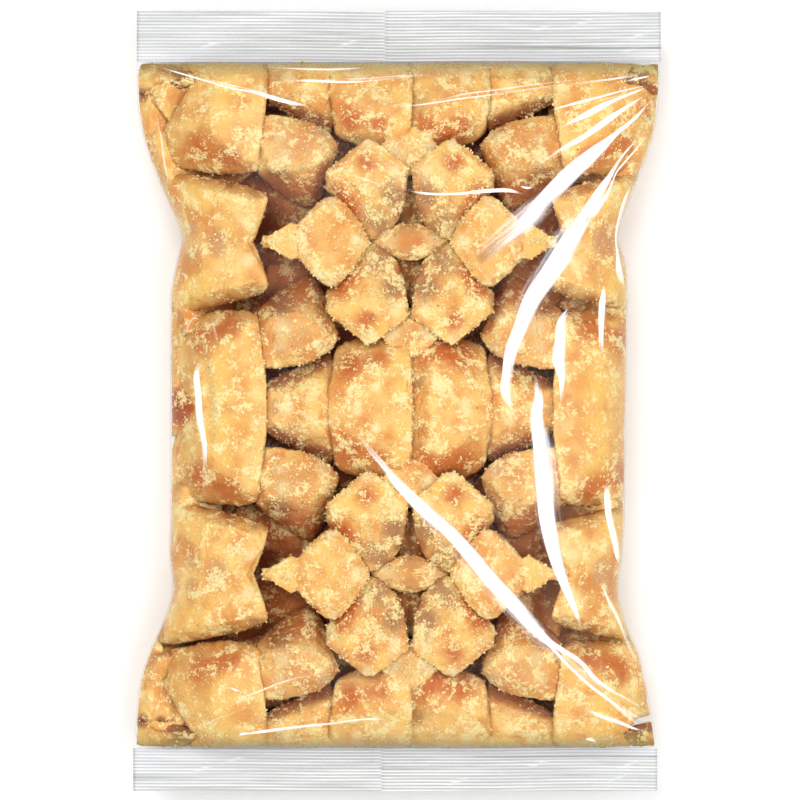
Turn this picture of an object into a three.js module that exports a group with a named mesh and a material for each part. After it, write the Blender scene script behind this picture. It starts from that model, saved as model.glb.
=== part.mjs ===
// A clear pillow pack of jaggery blocks, lying on its back with the shown side up.
// Millimetres, +Z up, +Y towards the top seal, origin under the middle of the pack.
import * as THREE from 'three';
import { mergeVertices } from 'three/addons/utils/BufferGeometryUtils.js';

// Driving dimensions
const PACK_LENGTH = 254;
const PACK_THICKNESS = 48;
const SEAL_WIDTH = 170.6;
const SEAL_SHIFT = 0.6;            // the top seal sits this far to the right, the bottom one to the left
const TOP_SEAL_DEPTH = 16.6;
const BOTTOM_SEAL_DEPTH = 14;
const SEAL_LIFT = 18;              // height of the widest line of the pillow, and of both seals
const SEAL_THICKNESS = 0.5;
const SEAL_WAVE = 0.9;
const SEAL_WAVE_LENGTH = 92;
const CRIMP_PITCH = 1.04;
const CRIMP_HEIGHT = 0.25;
const JOIN_GAP = 0.3;
const MOUTH_HALF_THICKNESS = 1.1;  // half of the pillow's thickness where it meets a seal

// How the filled part swells from its seals and its side edges
const ROOF_RUN = 54;
const FLOOR_RUN = 42;
const FLOOR_OVERSHOOT = 1.12;      // the underside would bulge this much further, so the table flattens it
const END_POWER = 2.6;
const SIDE_POWER = 3.1;
const SHOULDER = 0.985;            // share of the half width where the roof turns into the side

// The outline of the filled part seen from above: distance along the pack, left edge, right edge
const OUTLINE = [
  [-113.0, -85.6, 84.6],
  [-92.5, -84.0, 81.3],
  [-82.7, -81.1, 79.1],
  [-72.9, -76.8, 74.9],
  [-62.0, -73.3, 72.2],
  [-50.0, -74.2, 73.4],
  [-38.7, -73.9, 74.2],
  [0.0, -73.8, 74.6],
  [34.5, -73.9, 75.2],
  [45.0, -72.0, 74.6],
  [54.0, -70.3, 72.0],
  [68.7, -76.5, 77.2],
  [83.4, -81.9, 82.6],
  [96.0, -84.4, 85.1],
  [110.4, -84.7, 85.6],
];

// The top layer of blocks, laid out like a folded pattern about FOLD_X, in rows about FOLD_Y
const FOLD_X = 4.2;
const FOLD_Y = -2.3;
const ROW_PITCH = 54.4;
const LUMP_HEIGHT = 2.8;
const LUMP_KINDS = [
  { across: 63, along: 0, wide: 15, long: 22 },
  { across: 36, along: 0, wide: 11, long: 13 },
  { across: 13, along: 0, wide: 12, long: 16 },
  { across: 36.5, along: 28, wide: 12, long: 13 },
  { across: 14, along: 37, wide: 12, long: 14 },
  { across: 63, along: ROW_PITCH, wide: 15, long: 20 },
  { across: 29, along: ROW_PITCH, wide: 13, long: 12 },
];

// The lap seam along the underside, between two columns of the pillow's mesh
const SEAM_THICKNESS = 0.5;
const SEAM_WIDTH = 11;
const SEAM_END_CLEARANCE = 3;
const GROOVE_DEPTH = 1.2;

// Mesh of the filled part
const COLUMNS = 36;
const STATIONS = 40;
const INNER_PITCH = 3.6;           // spacing of the straight columns
const INNER_COLUMNS = 24;
const GROOVE_FIRST_COLUMN = -5;
const GROOVE_LAST_COLUMN = -1;

const topJoin = PACK_LENGTH / 2 - TOP_SEAL_DEPTH;
const bottomJoin = -PACK_LENGTH / 2 + BOTTOM_SEAL_DEPTH;
const pillowTop = topJoin - JOIN_GAP;
const pillowBottom = bottomJoin + JOIN_GAP;

const leftEdge = edgeCurve(1);
const rightEdge = edgeCurve(2);
const lumps = layOutLumps();

// A smooth curve through one column of the outline table
function edgeCurve(column) {
  const points = OUTLINE.map((row) => new THREE.Vector2(row[0], row[column]));
  return new THREE.SplineCurve(points);
}

// The curve's value at a distance along the pack, found between its own points
function edgeAt(curve, y) {
  const points = curve.points;
  const last = points.length - 1;
  let i = 0;
  while (i < last - 1 && points[i + 1].x < y) i += 1;
  const share = THREE.MathUtils.clamp((y - points[i].x) / (points[i + 1].x - points[i].x), 0, 1);
  return curve.getPoint((i + share) / last).y;
}

// Centres and sizes of the bumps that the top blocks press into the film
function layOutLumps() {
  const all = [];
  for (const kind of LUMP_KINDS) {
    for (const row of [-2, 0, 2]) {
      for (const turn of [-1, 1]) {
        for (const side of [-1, 1]) {
          const x = FOLD_X + side * kind.across;
          const y = FOLD_Y + row * ROW_PITCH + turn * kind.along;
          all.push({ x, y, wide: kind.wide, long: kind.long });
        }
      }
    }
  }
  return all;
}

function lumpHeight(x, y) {
  let height = 0;
  for (const lump of lumps) {
    const u = (x - lump.x) / lump.wide;
    const v = (y - lump.y) / lump.long;
    height = Math.max(height, Math.exp(-(u * u + v * v)));
  }
  return LUMP_HEIGHT * (height - 1);
}

// 0 at the start of a swelling, 1 once its run is over, rising like the side of a cushion
function swell(distance, run, power) {
  const left = 1 - THREE.MathUtils.clamp(distance / run, 0, 1);
  return Math.pow(1 - Math.pow(left, power), 1 / 2);
}

function sealWave(x) {
  return SEAL_WAVE * Math.sin((2 * Math.PI * x) / SEAL_WAVE_LENGTH);
}

function fromNearestJoin(y) {
  return Math.min(pillowTop - y, y - pillowBottom);
}

function acrossShare(x, y) {
  const left = edgeAt(leftEdge, y);
  const right = edgeAt(rightEdge, y);
  const centre = (left + right) / 2;
  return Math.min(1, Math.abs(x - centre) / ((right - left) / 2));
}

function sideProfile(share) {
  return Math.sqrt(1 - Math.pow(share, SIDE_POWER));
}

// Height of the widest line: wavy at the seals, level between them
function waistHeight(x, y) {
  return SEAL_LIFT + sealWave(x) * (1 - swell(fromNearestJoin(y), ROOF_RUN, END_POWER));
}

function roofHeight(x, y) {
  const rise = swell(fromNearestJoin(y), ROOF_RUN, END_POWER) * sideProfile(acrossShare(x, y));
  const crown = (PACK_THICKNESS - SEAL_LIFT) * rise;
  const mouth = MOUTH_HALF_THICKNESS * (1 - rise);
  return waistHeight(x, y) + crown + mouth + lumpHeight(x, y) * rise;
}

function undersideHeight(x, y) {
  const sink = swell(fromNearestJoin(y), FLOOR_RUN, END_POWER) * sideProfile(acrossShare(x, y));
  const bulge = SEAL_LIFT * FLOOR_OVERSHOOT * sink;
  const mouth = MOUTH_HALF_THICKNESS * (1 - sink);
  return Math.max(0, waistHeight(x, y) - bulge - mouth);
}

function grooveFloor(y) {
  const middle = ((GROOVE_FIRST_COLUMN + GROOVE_LAST_COLUMN) / 2) * INNER_PITCH;
  return undersideHeight(middle, y) + GROOVE_DEPTH;
}

// Distance along the pack of a station, -1 to 1, closer together near the seals
function stationAt(b) {
  const middle = (pillowTop + pillowBottom) / 2;
  return middle + ((pillowTop - pillowBottom) / 2) * Math.sin((b * Math.PI) / 2);
}

// Place of a column, -1 to 1: straight lines in the middle, then fanning out to the edge
function columnAt(a, y) {
  const innerEnd = (INNER_COLUMNS / 2) * INNER_PITCH;
  const innerShare = INNER_COLUMNS / COLUMNS;
  if (Math.abs(a) <= innerShare + 1e-6) return (a / innerShare) * innerEnd;
  const edge = widestAt(a, y);
  const centre = (edgeAt(leftEdge, y) + edgeAt(rightEdge, y)) / 2;
  const shoulder = centre + (edge - centre) * SHOULDER;
  const outward = (Math.abs(a) - innerShare) / (1 - innerShare);
  const start = Math.sign(a) * innerEnd;
  return start + (shoulder - start) * Math.sin((outward * Math.PI) / 2);
}

function widestAt(side, y) {
  return edgeAt(side < 0 ? leftEdge : rightEdge, y);
}

// Moves every vertex of a geometry and leaves one closed mesh with shared vertices
function reshape(geometry, place) {
  const position = geometry.getAttribute('position');
  const point = new THREE.Vector3();
  for (let i = 0; i < position.count; i += 1) {
    point.fromBufferAttribute(position, i);
    place(point);
    position.setXYZ(i, point.x, point.y, point.z);
  }
  geometry.deleteAttribute('normal');
  geometry.deleteAttribute('uv');
  const closed = mergeVertices(geometry, 1e-5);
  closed.computeVertexNormals();
  return closed;
}

// The film pillow with its contents: a gridded box whose roof, sides and underside are shaped
function filledPack() {
  const grid = new THREE.BoxGeometry(2, 2, 2, COLUMNS, STATIONS, 2);
  return reshape(grid, (point) => {
    const column = Math.round((point.x * COLUMNS) / 2);
    const side = point.z;
    const y = stationAt(point.y);
    const x = columnAt(point.x, y);
    const inGroove = column >= GROOVE_FIRST_COLUMN && column <= GROOVE_LAST_COLUMN;
    const onSide = Math.abs(point.x) > 0.999;
    if (side > 0.5) point.set(x, y, roofHeight(x, y));
    else if (side < -0.5 && inGroove) point.set(x, y, grooveFloor(y));
    else if (side < -0.5) point.set(x, y, undersideHeight(x, y));
    else point.set(onSide ? widestAt(point.x, y) : x, y, waistHeight(x, y));
  });
}

// A crimped end seal: a corrugated strip that follows the seal's slow wave
function endSeal(depth) {
  const ridges = Math.floor(depth / CRIMP_PITCH);
  const rows = ridges * 2;
  const strip = new THREE.BoxGeometry(SEAL_WIDTH, depth, SEAL_THICKNESS, 8, rows, 1);
  return reshape(strip, (point) => {
    const row = Math.round(((point.y + depth / 2) / depth) * rows);
    const crest = row % 2 === 0 ? -CRIMP_HEIGHT / 2 : CRIMP_HEIGHT / 2;
    point.z += crest + sealWave(point.x);
  });
}

// The lap seam: a flat ribbon that follows the groove under the pack
function backSeam() {
  const ribbon = new THREE.BoxGeometry(SEAM_WIDTH, 2, SEAM_THICKNESS, 1, STATIONS, 1);
  const top = pillowTop - SEAM_END_CLEARANCE;
  const bottom = pillowBottom + SEAM_END_CLEARANCE;
  return reshape(ribbon, (point) => {
    const y = THREE.MathUtils.clamp(stationAt(point.y), bottom, top);
    point.set(point.x, y, grooveFloor(y) - JOIN_GAP - SEAM_THICKNESS / 2 + point.z);
  });
}

function named(name, geometry, material) {
  const mesh = new THREE.Mesh(geometry, material);
  mesh.name = name;
  return mesh;
}

const jaggery = new THREE.MeshStandardMaterial({ color: 0xdbac71, roughness: 0.75, metalness: 0 });
const crimpedFilm = new THREE.MeshStandardMaterial({ color: 0xdddddc, roughness: 0.35, metalness: 0 });
const clearFilm = new THREE.MeshStandardMaterial({ color: 0xe9e6dc, roughness: 0.15, metalness: 0 });

const pack = new THREE.Group();
pack.add(named('filled_pack', filledPack(), jaggery));

const topSeal = named('top_end_seal', endSeal(TOP_SEAL_DEPTH), crimpedFilm);
topSeal.position.set(SEAL_SHIFT, PACK_LENGTH / 2 - TOP_SEAL_DEPTH / 2, SEAL_LIFT);
pack.add(topSeal);

const bottomSeal = named('bottom_end_seal', endSeal(BOTTOM_SEAL_DEPTH), crimpedFilm);
bottomSeal.position.set(-SEAL_SHIFT, -PACK_LENGTH / 2 + BOTTOM_SEAL_DEPTH / 2, SEAL_LIFT);
pack.add(bottomSeal);

const seam = named('back_seam', backSeam(), clearFilm);
seam.position.x = ((GROOVE_FIRST_COLUMN + GROOVE_LAST_COLUMN) / 2) * INNER_PITCH;
pack.add(seam);

export default pack;
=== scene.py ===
import itertools
import math
import random

import bmesh
import bpy
import numpy as np
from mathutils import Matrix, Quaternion, Vector, noise


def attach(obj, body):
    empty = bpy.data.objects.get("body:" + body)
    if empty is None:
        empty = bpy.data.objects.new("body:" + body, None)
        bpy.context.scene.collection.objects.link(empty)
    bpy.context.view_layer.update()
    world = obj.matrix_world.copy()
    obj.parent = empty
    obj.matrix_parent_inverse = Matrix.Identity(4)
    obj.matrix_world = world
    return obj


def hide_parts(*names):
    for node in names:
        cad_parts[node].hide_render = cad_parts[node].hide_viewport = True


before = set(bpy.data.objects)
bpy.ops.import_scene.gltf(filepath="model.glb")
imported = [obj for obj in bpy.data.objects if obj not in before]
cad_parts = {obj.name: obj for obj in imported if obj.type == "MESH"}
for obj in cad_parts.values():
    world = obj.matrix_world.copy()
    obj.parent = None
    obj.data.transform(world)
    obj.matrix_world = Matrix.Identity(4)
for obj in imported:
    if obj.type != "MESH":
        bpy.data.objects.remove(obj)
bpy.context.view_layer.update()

MM = 0.001
QUICK = 0

# ---------------------------------------------------------------- sizes, in millimetres

PACK_LENGTH = 254.0
PACK_THICKNESS = 47.6
SEAL_WIDTH = 170.6
SEAL_SHIFT = 0.6
TOP_SEAL_DEPTH = 16.6
BOTTOM_SEAL_DEPTH = 14.0
SEAL_LIFT = 18.0            # the seals' height over the table
SEAL_WAVE = 0.9             # how far they wave up and down
SEAL_WAVE_LENGTH = 92.0
CRIMP_PITCH = 1.04
ROOF_RUN = 54.0             # the roof and the underside reach their full height this far from a seal
FLOOR_RUN = 42.0
FLOOR_OVERSHOOT = 1.12      # presses the underside flat on the table
END_POWER = 2.6             # how square the swelling is along the pack and across it
SIDE_POWER = 3.1

TOP_JOIN = PACK_LENGTH / 2 - TOP_SEAL_DEPTH
BOTTOM_JOIN = -PACK_LENGTH / 2 + BOTTOM_SEAL_DEPTH

# Outline of the filled part: distance along the pack, left edge, right edge
OUTLINE = np.array([
    (-113.0, -85.6, 84.6), (-92.5, -84.0, 81.3), (-82.7, -81.1, 79.1), (-72.9, -76.8, 74.9),
    (-62.0, -73.3, 72.2), (-50.0, -74.2, 73.4), (-38.7, -73.9, 74.2), (0.0, -73.8, 74.6),
    (34.5, -73.9, 75.2), (45.0, -72.0, 74.6), (54.0, -70.3, 72.0), (68.7, -76.5, 77.2),
    (83.4, -81.9, 82.6), (96.0, -84.4, 85.1), (110.4, -84.7, 85.6),
])

# The top layer of blocks is laid out like a folded pattern: mirrored left and right about FOLD_X, and
# up and down about the ridge rows and, half a period later, about the cross rows
FOLD_X = 4.2
FOLD_Y = -2.2
ROW_PITCH = 53.5


# ---------------------------------------------------------------- the shape of the pack

def eased(t, start, end, slope_in, slope_out):
    """The cubic from start to end with the given slopes, at shares t of the way."""
    return ((2 * t**3 - 3 * t**2 + 1) * start + (t**3 - 2 * t**2 + t) * slope_in
            + (-2 * t**3 + 3 * t**2) * end + (t**3 - t**2) * slope_out)


def smooth_curve(stations, values, wanted):
    """A smooth curve through the values at the stations, read at the wanted places."""
    i = np.clip(np.searchsorted(stations, wanted, side="right") - 1, 0, len(stations) - 2)
    t = np.clip((wanted - stations[i]) / (stations[i + 1] - stations[i]), 0, 1)
    before = values[np.maximum(i - 1, 0)]
    after = values[np.minimum(i + 2, len(values) - 1)]
    slope_in = (values[i + 1] - before) / 2
    slope_out = (after - values[i]) / 2
    return eased(t, values[i], values[i + 1], slope_in, slope_out)


EDGE_STATIONS = np.linspace(BOTTOM_JOIN - 1, TOP_JOIN + 1, 1500)
LEFT_EDGE = smooth_curve(OUTLINE[:, 0], OUTLINE[:, 1], EDGE_STATIONS)
RIGHT_EDGE = smooth_curve(OUTLINE[:, 0], OUTLINE[:, 2], EDGE_STATIONS)


def left_edge(y):
    return np.interp(y, EDGE_STATIONS, LEFT_EDGE)


def right_edge(y):
    return np.interp(y, EDGE_STATIONS, RIGHT_EDGE)


def swell(distance, run):
    left = 1 - np.clip(distance / run, 0, 1)
    return np.sqrt(np.maximum(1 - left**END_POWER, 0))


def from_nearest_join(y):
    return np.minimum(TOP_JOIN - y, y - BOTTOM_JOIN)


def across_share(x, y):
    left, right = left_edge(y), right_edge(y)
    return np.clip(np.abs(x - (left + right) / 2) / ((right - left) / 2), 0, 1)


def side_profile(share):
    return np.sqrt(np.maximum(1 - share**SIDE_POWER, 0))


def seal_wave(x):
    return SEAL_WAVE * np.sin(2 * math.pi * x / SEAL_WAVE_LENGTH)


def waist_height(x, y):
    return SEAL_LIFT + seal_wave(x) * (1 - swell(from_nearest_join(y), ROOF_RUN))


def roof_height(x, y):
    rise = swell(from_nearest_join(y), ROOF_RUN) * side_profile(across_share(x, y))
    return waist_height(x, y) + (PACK_THICKNESS - SEAL_LIFT) * rise


def underside_height(x, y):
    sink = swell(from_nearest_join(y), FLOOR_RUN) * side_profile(across_share(x, y))
    return np.maximum(0.0, waist_height(x, y) - SEAL_LIFT * FLOOR_OVERSHOOT * sink)


def room_inside(points):
    """How far each point is from the nearest wall of the pack, negative outside it."""
    x, y, z = points[..., 0], points[..., 1], points[..., 2]
    return np.minimum.reduce([
        roof_height(x, y) - z, z - underside_height(x, y), x - left_edge(y), right_edge(y) - x,
        TOP_JOIN - y, y - BOTTOM_JOIN,
    ])


# ---------------------------------------------------------------- mesh helpers

def in_scene(name, data):
    """A new object, linked to the scene."""
    obj = bpy.data.objects.new(name, data)
    bpy.context.scene.collection.objects.link(obj)
    return obj


def mesh_from(name, bm):
    mesh = bpy.data.meshes.new(name)
    bm.to_mesh(mesh)
    bm.free()
    return mesh


def place_piece(mesh, material, replaces=()):
    """Puts a finished mesh in the scene as a piece that rides on the pack."""
    piece = in_scene(mesh.name, mesh)
    mesh.materials.append(material)
    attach(piece, "root")
    if replaces:
        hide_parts(*replaces)
    return piece


def add_piece(name, bm, material, replaces=()):
    """Turns a bmesh in millimetres into a smooth-shaded piece."""
    bmesh.ops.scale(bm, vec=(MM, MM, MM), verts=bm.verts)
    mesh = mesh_from(name, bm)
    mesh.shade_smooth()
    return place_piece(mesh, material, replaces)


def heap_piece(name, bm, material):
    """Adds a piece of the heap inside the pack."""
    return add_piece(name, bm, material, ["filled_pack"])


def soft_noise(columns):
    """Plain soft noise at each place, about -1 to 1, in the shape of the first column."""
    places = np.column_stack([np.asarray(c).ravel() for c in columns])
    return np.array([noise.noise(Vector(p)) for p in places]).reshape(np.shape(columns[0]))


def sampled(points, size, seed, octaves=3):
    """Soft noise at each point, about -1 to 1, with features of a size in millimetres."""
    shift = Vector((seed * 7.31, seed * 3.77, seed * 5.19))
    return np.array([noise.fractal(Vector(p) / size + shift, 1.0, 2.0, octaves) for p in points])


def smooth_step(value, low, high):
    t = np.clip((value - low) / (high - low), 0, 1)
    return t * t * (3 - 2 * t)


# ---------------------------------------------------------------- the blocks

# Corners of each kind of block in the top layer: millimetres across from the fold, millimetres along
# from the row line, and how far below the film. Kinds that sit on a row line give one half, mirrored about
# it; the kinds in PAIRS and those between the rows are whole and stand on both sides of their line.
SPLIT_SIDE = [
    (26.5, 0, 3.5), (26.5, 4, 3.5), (25.5, 8.5, 4.5), (24.5, 18.5, 10), (21.5, 21, 11), (17.5, 22.5, 11.5),
    (10.5, 24.5, 11)]
RIDGE_KINDS = {
    "long_bar": [(46, 0, 2.5), (46, 8, 3), (48.5, 15, 3), (48.5, 24.5, 4.5), (48.5, 30, 8), (52, 31.5, 9),
        (61, 32, 10), (67.5, 31, 10), (74.5, 29, 10), (78, 29, 11), (79, 23, 10), (80, 16.5, 9),
        (77, 12, 8), (74, 7, 7.5), (70.5, 2, 7), (69, 0, 7), (62, 0, 0.8), (63.5, 8.5, 0.8), (64, 18.5, 1),
        (60, 22, 2), (52.5, 27, 4)],
    "edge_knob": [(69.5, 0, 5), (70, 1.5, 8), (73, 3.5, 10), (80, 5.5, 11), (87.5, 6, 10), (90.5, 0, 3),
        (90.5, 5.5, 8), (83.5, 0, 3.5), (73.5, 0, 4)],
    "saddle": [(47, 0, 5.4), (47, 6, 6.5), (45.5, 9, 9), (39, 12, 11), (32.5, 14.5, 12), (25.5, 18.5, 13),
        (23.5, 12.5, 10), (23.5, 2, 6), (23.5, 0, 5), (38.5, 0, 4.6), (31.5, 1, 2.2), (34, 6, 4),
        (27, 8.5, 6)],
    "notch_piece": [(68.5, 0, 8), (70, 8, 9), (80, 10, 9), (80, 0, 6), (74, 1.5, 5)],
    "split_block": SPLIT_SIDE + [(4.5, 24, 9), (0.5, 21, 6), (-0.6, 15, 3), (-1, 8, 2.2), (-1, 0, 2),
        (2, 0, 0.8), (19, 0, 1.2), (22, 7.5, 2.2), (10.5, 9.5, 1.6), (2.5, 11, 1), (4, 18.5, 3.5)],
    "split_twin": SPLIT_SIDE + [(4.5, 24, 10), (0, 21, 8.5), (-1, 15, 7), (-1, 8, 6), (-1, 0, 6),
        (6, 0, 1.6), (19, 0, 1.2), (22, 7.5, 2.2), (10.5, 9.5, 1.8), (8, 11, 1.8), (8.5, 18.5, 3.8)],
}
CROSS_KINDS = {
    "arrow_head": [(39, 1.5, 3), (37, 4.5, 3), (35.5, 6, 3), (33, 8.8, 3), (31, 11, 2.8), (27.5, 14, 3),
        (26, 14.5, 3), (23.5, 14.5, 3), (21, 12, 2.5), (19, 10, 2.5), (16.5, 6.5, 2.5), (14.5, 3.5, 2.5),
        (12.8, 0, 3), (16.5, 0, 0.7), (20, 7, 0.8), (24.5, 12, 1), (29.5, 10.5, 1), (33, 2.5, 1.2),
        (33.5, 0, 1.2)],
    "arrow_tip": [(47.5, 0, 3.6), (43, 2.4, 3.4), (39.8, 5.2, 3.2), (38.4, 6, 3.2), (36.4, 5.4, 3),
        (33.5, 2.5, 2.6), (33.5, 0, 2.6), (40, 0, 2), (38.5, 3, 2.2)],
    "sunken_block": [(47.5, 16.5, 19), (41.5, 18, 17), (28, 14.5, 17), (27, 9, 17.5), (33.5, 1.5, 18),
        (44, 0, 20), (48.5, 4.5, 21), (50, 13, 21), (38.5, 9.5, 15.5)],
    "waisted_block": [(51, 0, 5), (50.5, 2.5, 5), (48.5, 5, 4.5), (47, 8.5, 4), (46, 12, 4), (45.5, 14, 5),
        (47, 16, 7.5), (52, 18, 8), (59.5, 19.5, 8.5), (66, 21.5, 8.5), (71.5, 22.5, 8.5), (83.5, 24, 8),
        (85, 16, 3), (84, 8, 2), (83, 0, 2), (80, 20.5, 3), (65.5, 16.5, 1.8), (57, 15, 1.8),
        (49.5, 12.5, 2.4), (49, 7, 2.4), (53, 0, 2.6), (67.5, 0, 1.2), (67.5, 9.5, 1)],
    "middle_block": [(12.6, 0, 8.5), (8, 3.6, 9), (3, 6, 9), (-3, 6, 9), (-8, 3.6, 9), (-12.6, 0, 8.5),
        (6, 0, 7.6), (-6, 0, 7.6), (2, 4.5, 7.8), (-4, 4, 7.6)],
    "middle_chip": [(11, 4, 9.5), (7, 4, 8.5), (4, 2, 9), (6, 0.5, 9), (8.5, 1, 9), (7, 2.5, 7.8)],
}
BETWEEN_KINDS = {
    "edge_block": [(75.5, 4.5, 11), (78.5, 9, 11), (80.5, 15, 12), (79.5, 27, 12), (82, 34, 12),
        (88, 34, 11), (90.5, 15, 5), (90.5, 5.5, 6), (84.5, 5, 6), (79, 4.5, 8)],
    "round_block": [(47.5, 12.5, 6), (42.5, 12.5, 6), (38, 14, 6), (32.5, 14.5, 6.5), (28.5, 16.5, 7),
        (25.5, 18.5, 8), (23, 22, 8), (23, 24, 8.5), (24.5, 27.5, 8.5), (26.5, 30, 9), (27, 35, 13),
        (28.5, 39.5, 15), (31.5, 42.5, 15), (34.5, 42.5, 15), (39, 40, 14.5), (43.5, 37, 13.5),
        (47.5, 33.5, 12), (49.5, 31, 9), (49, 21.5, 6), (40, 17, 3.5), (29.5, 20, 4), (26.5, 24.5, 4.5),
        (30, 29, 5), (38, 30.5, 5), (45.5, 29, 5)],
    "diamond": [(14, 20.2, 4.2), (11, 21, 3.8), (17, 22.5, 4), (27, 31, 3.2), (27.3, 36.5, 6.5),
        (23.5, 40.5, 7.5), (17.5, 47, 7), (12.8, 53.3, 6.5), (8, 51.5, 8.5), (3.6, 46.5, 8), (1.6, 41, 6.5),
        (0.2, 29.5, 3.4), (13.5, 37, 0.7), (26, 32, 2), (1, 31, 2.4), (14, 23, 2.6)],
    "sandy_wedge": [(10, 23.5, 6), (5, 18, 5.5), (0, 16, 5), (-3, 17, 5), (-3, 32, 6.5), (2, 32, 7),
        (7, 28, 6), (0, 27, 4)],
    "red_wedge": [(5.5, 33, 13), (6, 47, 14), (3.5, 51, 14), (-0.5, 51, 14), (-0.5, 33, 13), (2, 42, 12)],
}
PAIRS = ("sunken_block", "middle_chip")
WIDE_PART_ONLY = ("edge_knob", "edge_block")    # kinds with no room at the pack's waist
WAIST_ONLY = ("notch_piece",)
ONE_SIDED = {"middle_block": 1, "split_block": 1, "split_twin": -1}     # the side of the fold each is on
FINELY_MADE = ("long_bar", "saddle", "split_block", "split_twin", "round_block", "diamond", "arrow_head",
               "waisted_block")
COARSELY_MADE = ("red_wedge", "sunken_block", "edge_block", "middle_chip", "edge_knob", "notch_piece")

# How pale each kind is, from burnt at 0 to butter yellow at 1
TONES = {
    "long_bar": 0.55, "edge_knob": 0.25, "saddle": 0.3, "split_block": 0.38, "arrow_head": 0.22,
    "arrow_tip": 0.6, "sunken_block": 0.1, "waisted_block": 0.45, "middle_block": 0.2, "middle_chip": 0.6,
    "edge_block": 0.4, "round_block": 0.0, "diamond": 0.5, "sandy_wedge": 0.3, "red_wedge": 0.4,
    "notch_piece": 0.2, "split_twin": 0.4,
}
RIDGE_ROWS = [FOLD_Y + 2 * ROW_PITCH * row for row in (1, 0, -1)]
CROSS_ROWS = [FOLD_Y + ROW_PITCH * row for row in (1, -1)]

BLOCK_DEPTH = 19.0          # from the mean height of a block's upper corners to its underside
BASE_TAPER = 0.9            # the underside is this much smaller than the outline
ON_THE_LINE = 1.0           # corners of a halved block this near its row line
MIRROR_LAP = 2.0            # are repeated this far past it
MIRROR_DROP = 1.6           # and this much lower
PUSHED_IN = 6.0             # blocks that a seal would push in further than this are left out
RIM_RISE = 18.0             # where the roof is this high over the seals, a block has its full drop
CORNER_SHARPNESS = 130      # how crisp the edges between two faces are
NEAREST_FACE = 0.6          # the least distance from a block's centre to a face
CREASE_START = 0.88         # a second face this near, as a share of the first's reach, starts a crease
CREASE_TURN = 0.25          # faces that turn this much, as 1 less their normals' product, crease fully
BURIED = 0.3                # a face whose nearest point is this far inside the other hull isn't seen
FILM_CLEARANCE = 0.6
LEAST_ROOM = 1.2            # a block whose centre is nearer to the film than this is left out
HALVINGS = 11               # steps in the search for the place where a block meets the film
TOP_FOCUS = 0.8             # pushes a block's vertices towards its shown top
BROAD, LUMP, GRAIN, PIT = 9.0, 2.8, 1.0, 2.0        # sizes of a block's unevenness
FULL_SIZE = 16.0            # blocks narrower than this are less uneven
SHADE_START, SHADE_RUN = 6.0, 11.0      # painted shade darkens a block from this far below the film, over this depth
STEEP_SHADE = 0.5           # how much painted shade darkens a block's steep sides, towards the painted shade of the gaps
SEAL_TINT_RUN = 7           # the seals' greenish tint reaches this far in
STAIN_REACH = 1.35          # a stain has faded out at this many times its radius


def linear(red, green, blue):
    """A colour given in screen values of 0 to 255."""
    def channel(value):
        value /= 255
        return value / 12.92 if value <= 0.04045 else ((value + 0.055) / 1.055) ** 2.4
    return (channel(red), channel(green), channel(blue), 1.0)


# How the sugar has set in places: burnt red, orange, bright yellow, pale, gritty or brown; the brown umber
# tint is painted shade, and the sand tint is partly gritty colour and partly painted shade, on the blocks'
# steep and lower faces
TINTS = {
    "caramel": linear(204, 108, 42), "amber": linear(232, 152, 72), "honey": linear(252, 202, 108),
    "cream": linear(255, 232, 170), "sand": linear(204, 158, 98), "umber_shade": linear(136, 84, 48),
    "rust": linear(176, 82, 34), "mauve": linear(206, 162, 118), "clay": linear(178, 128, 82),
}
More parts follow.
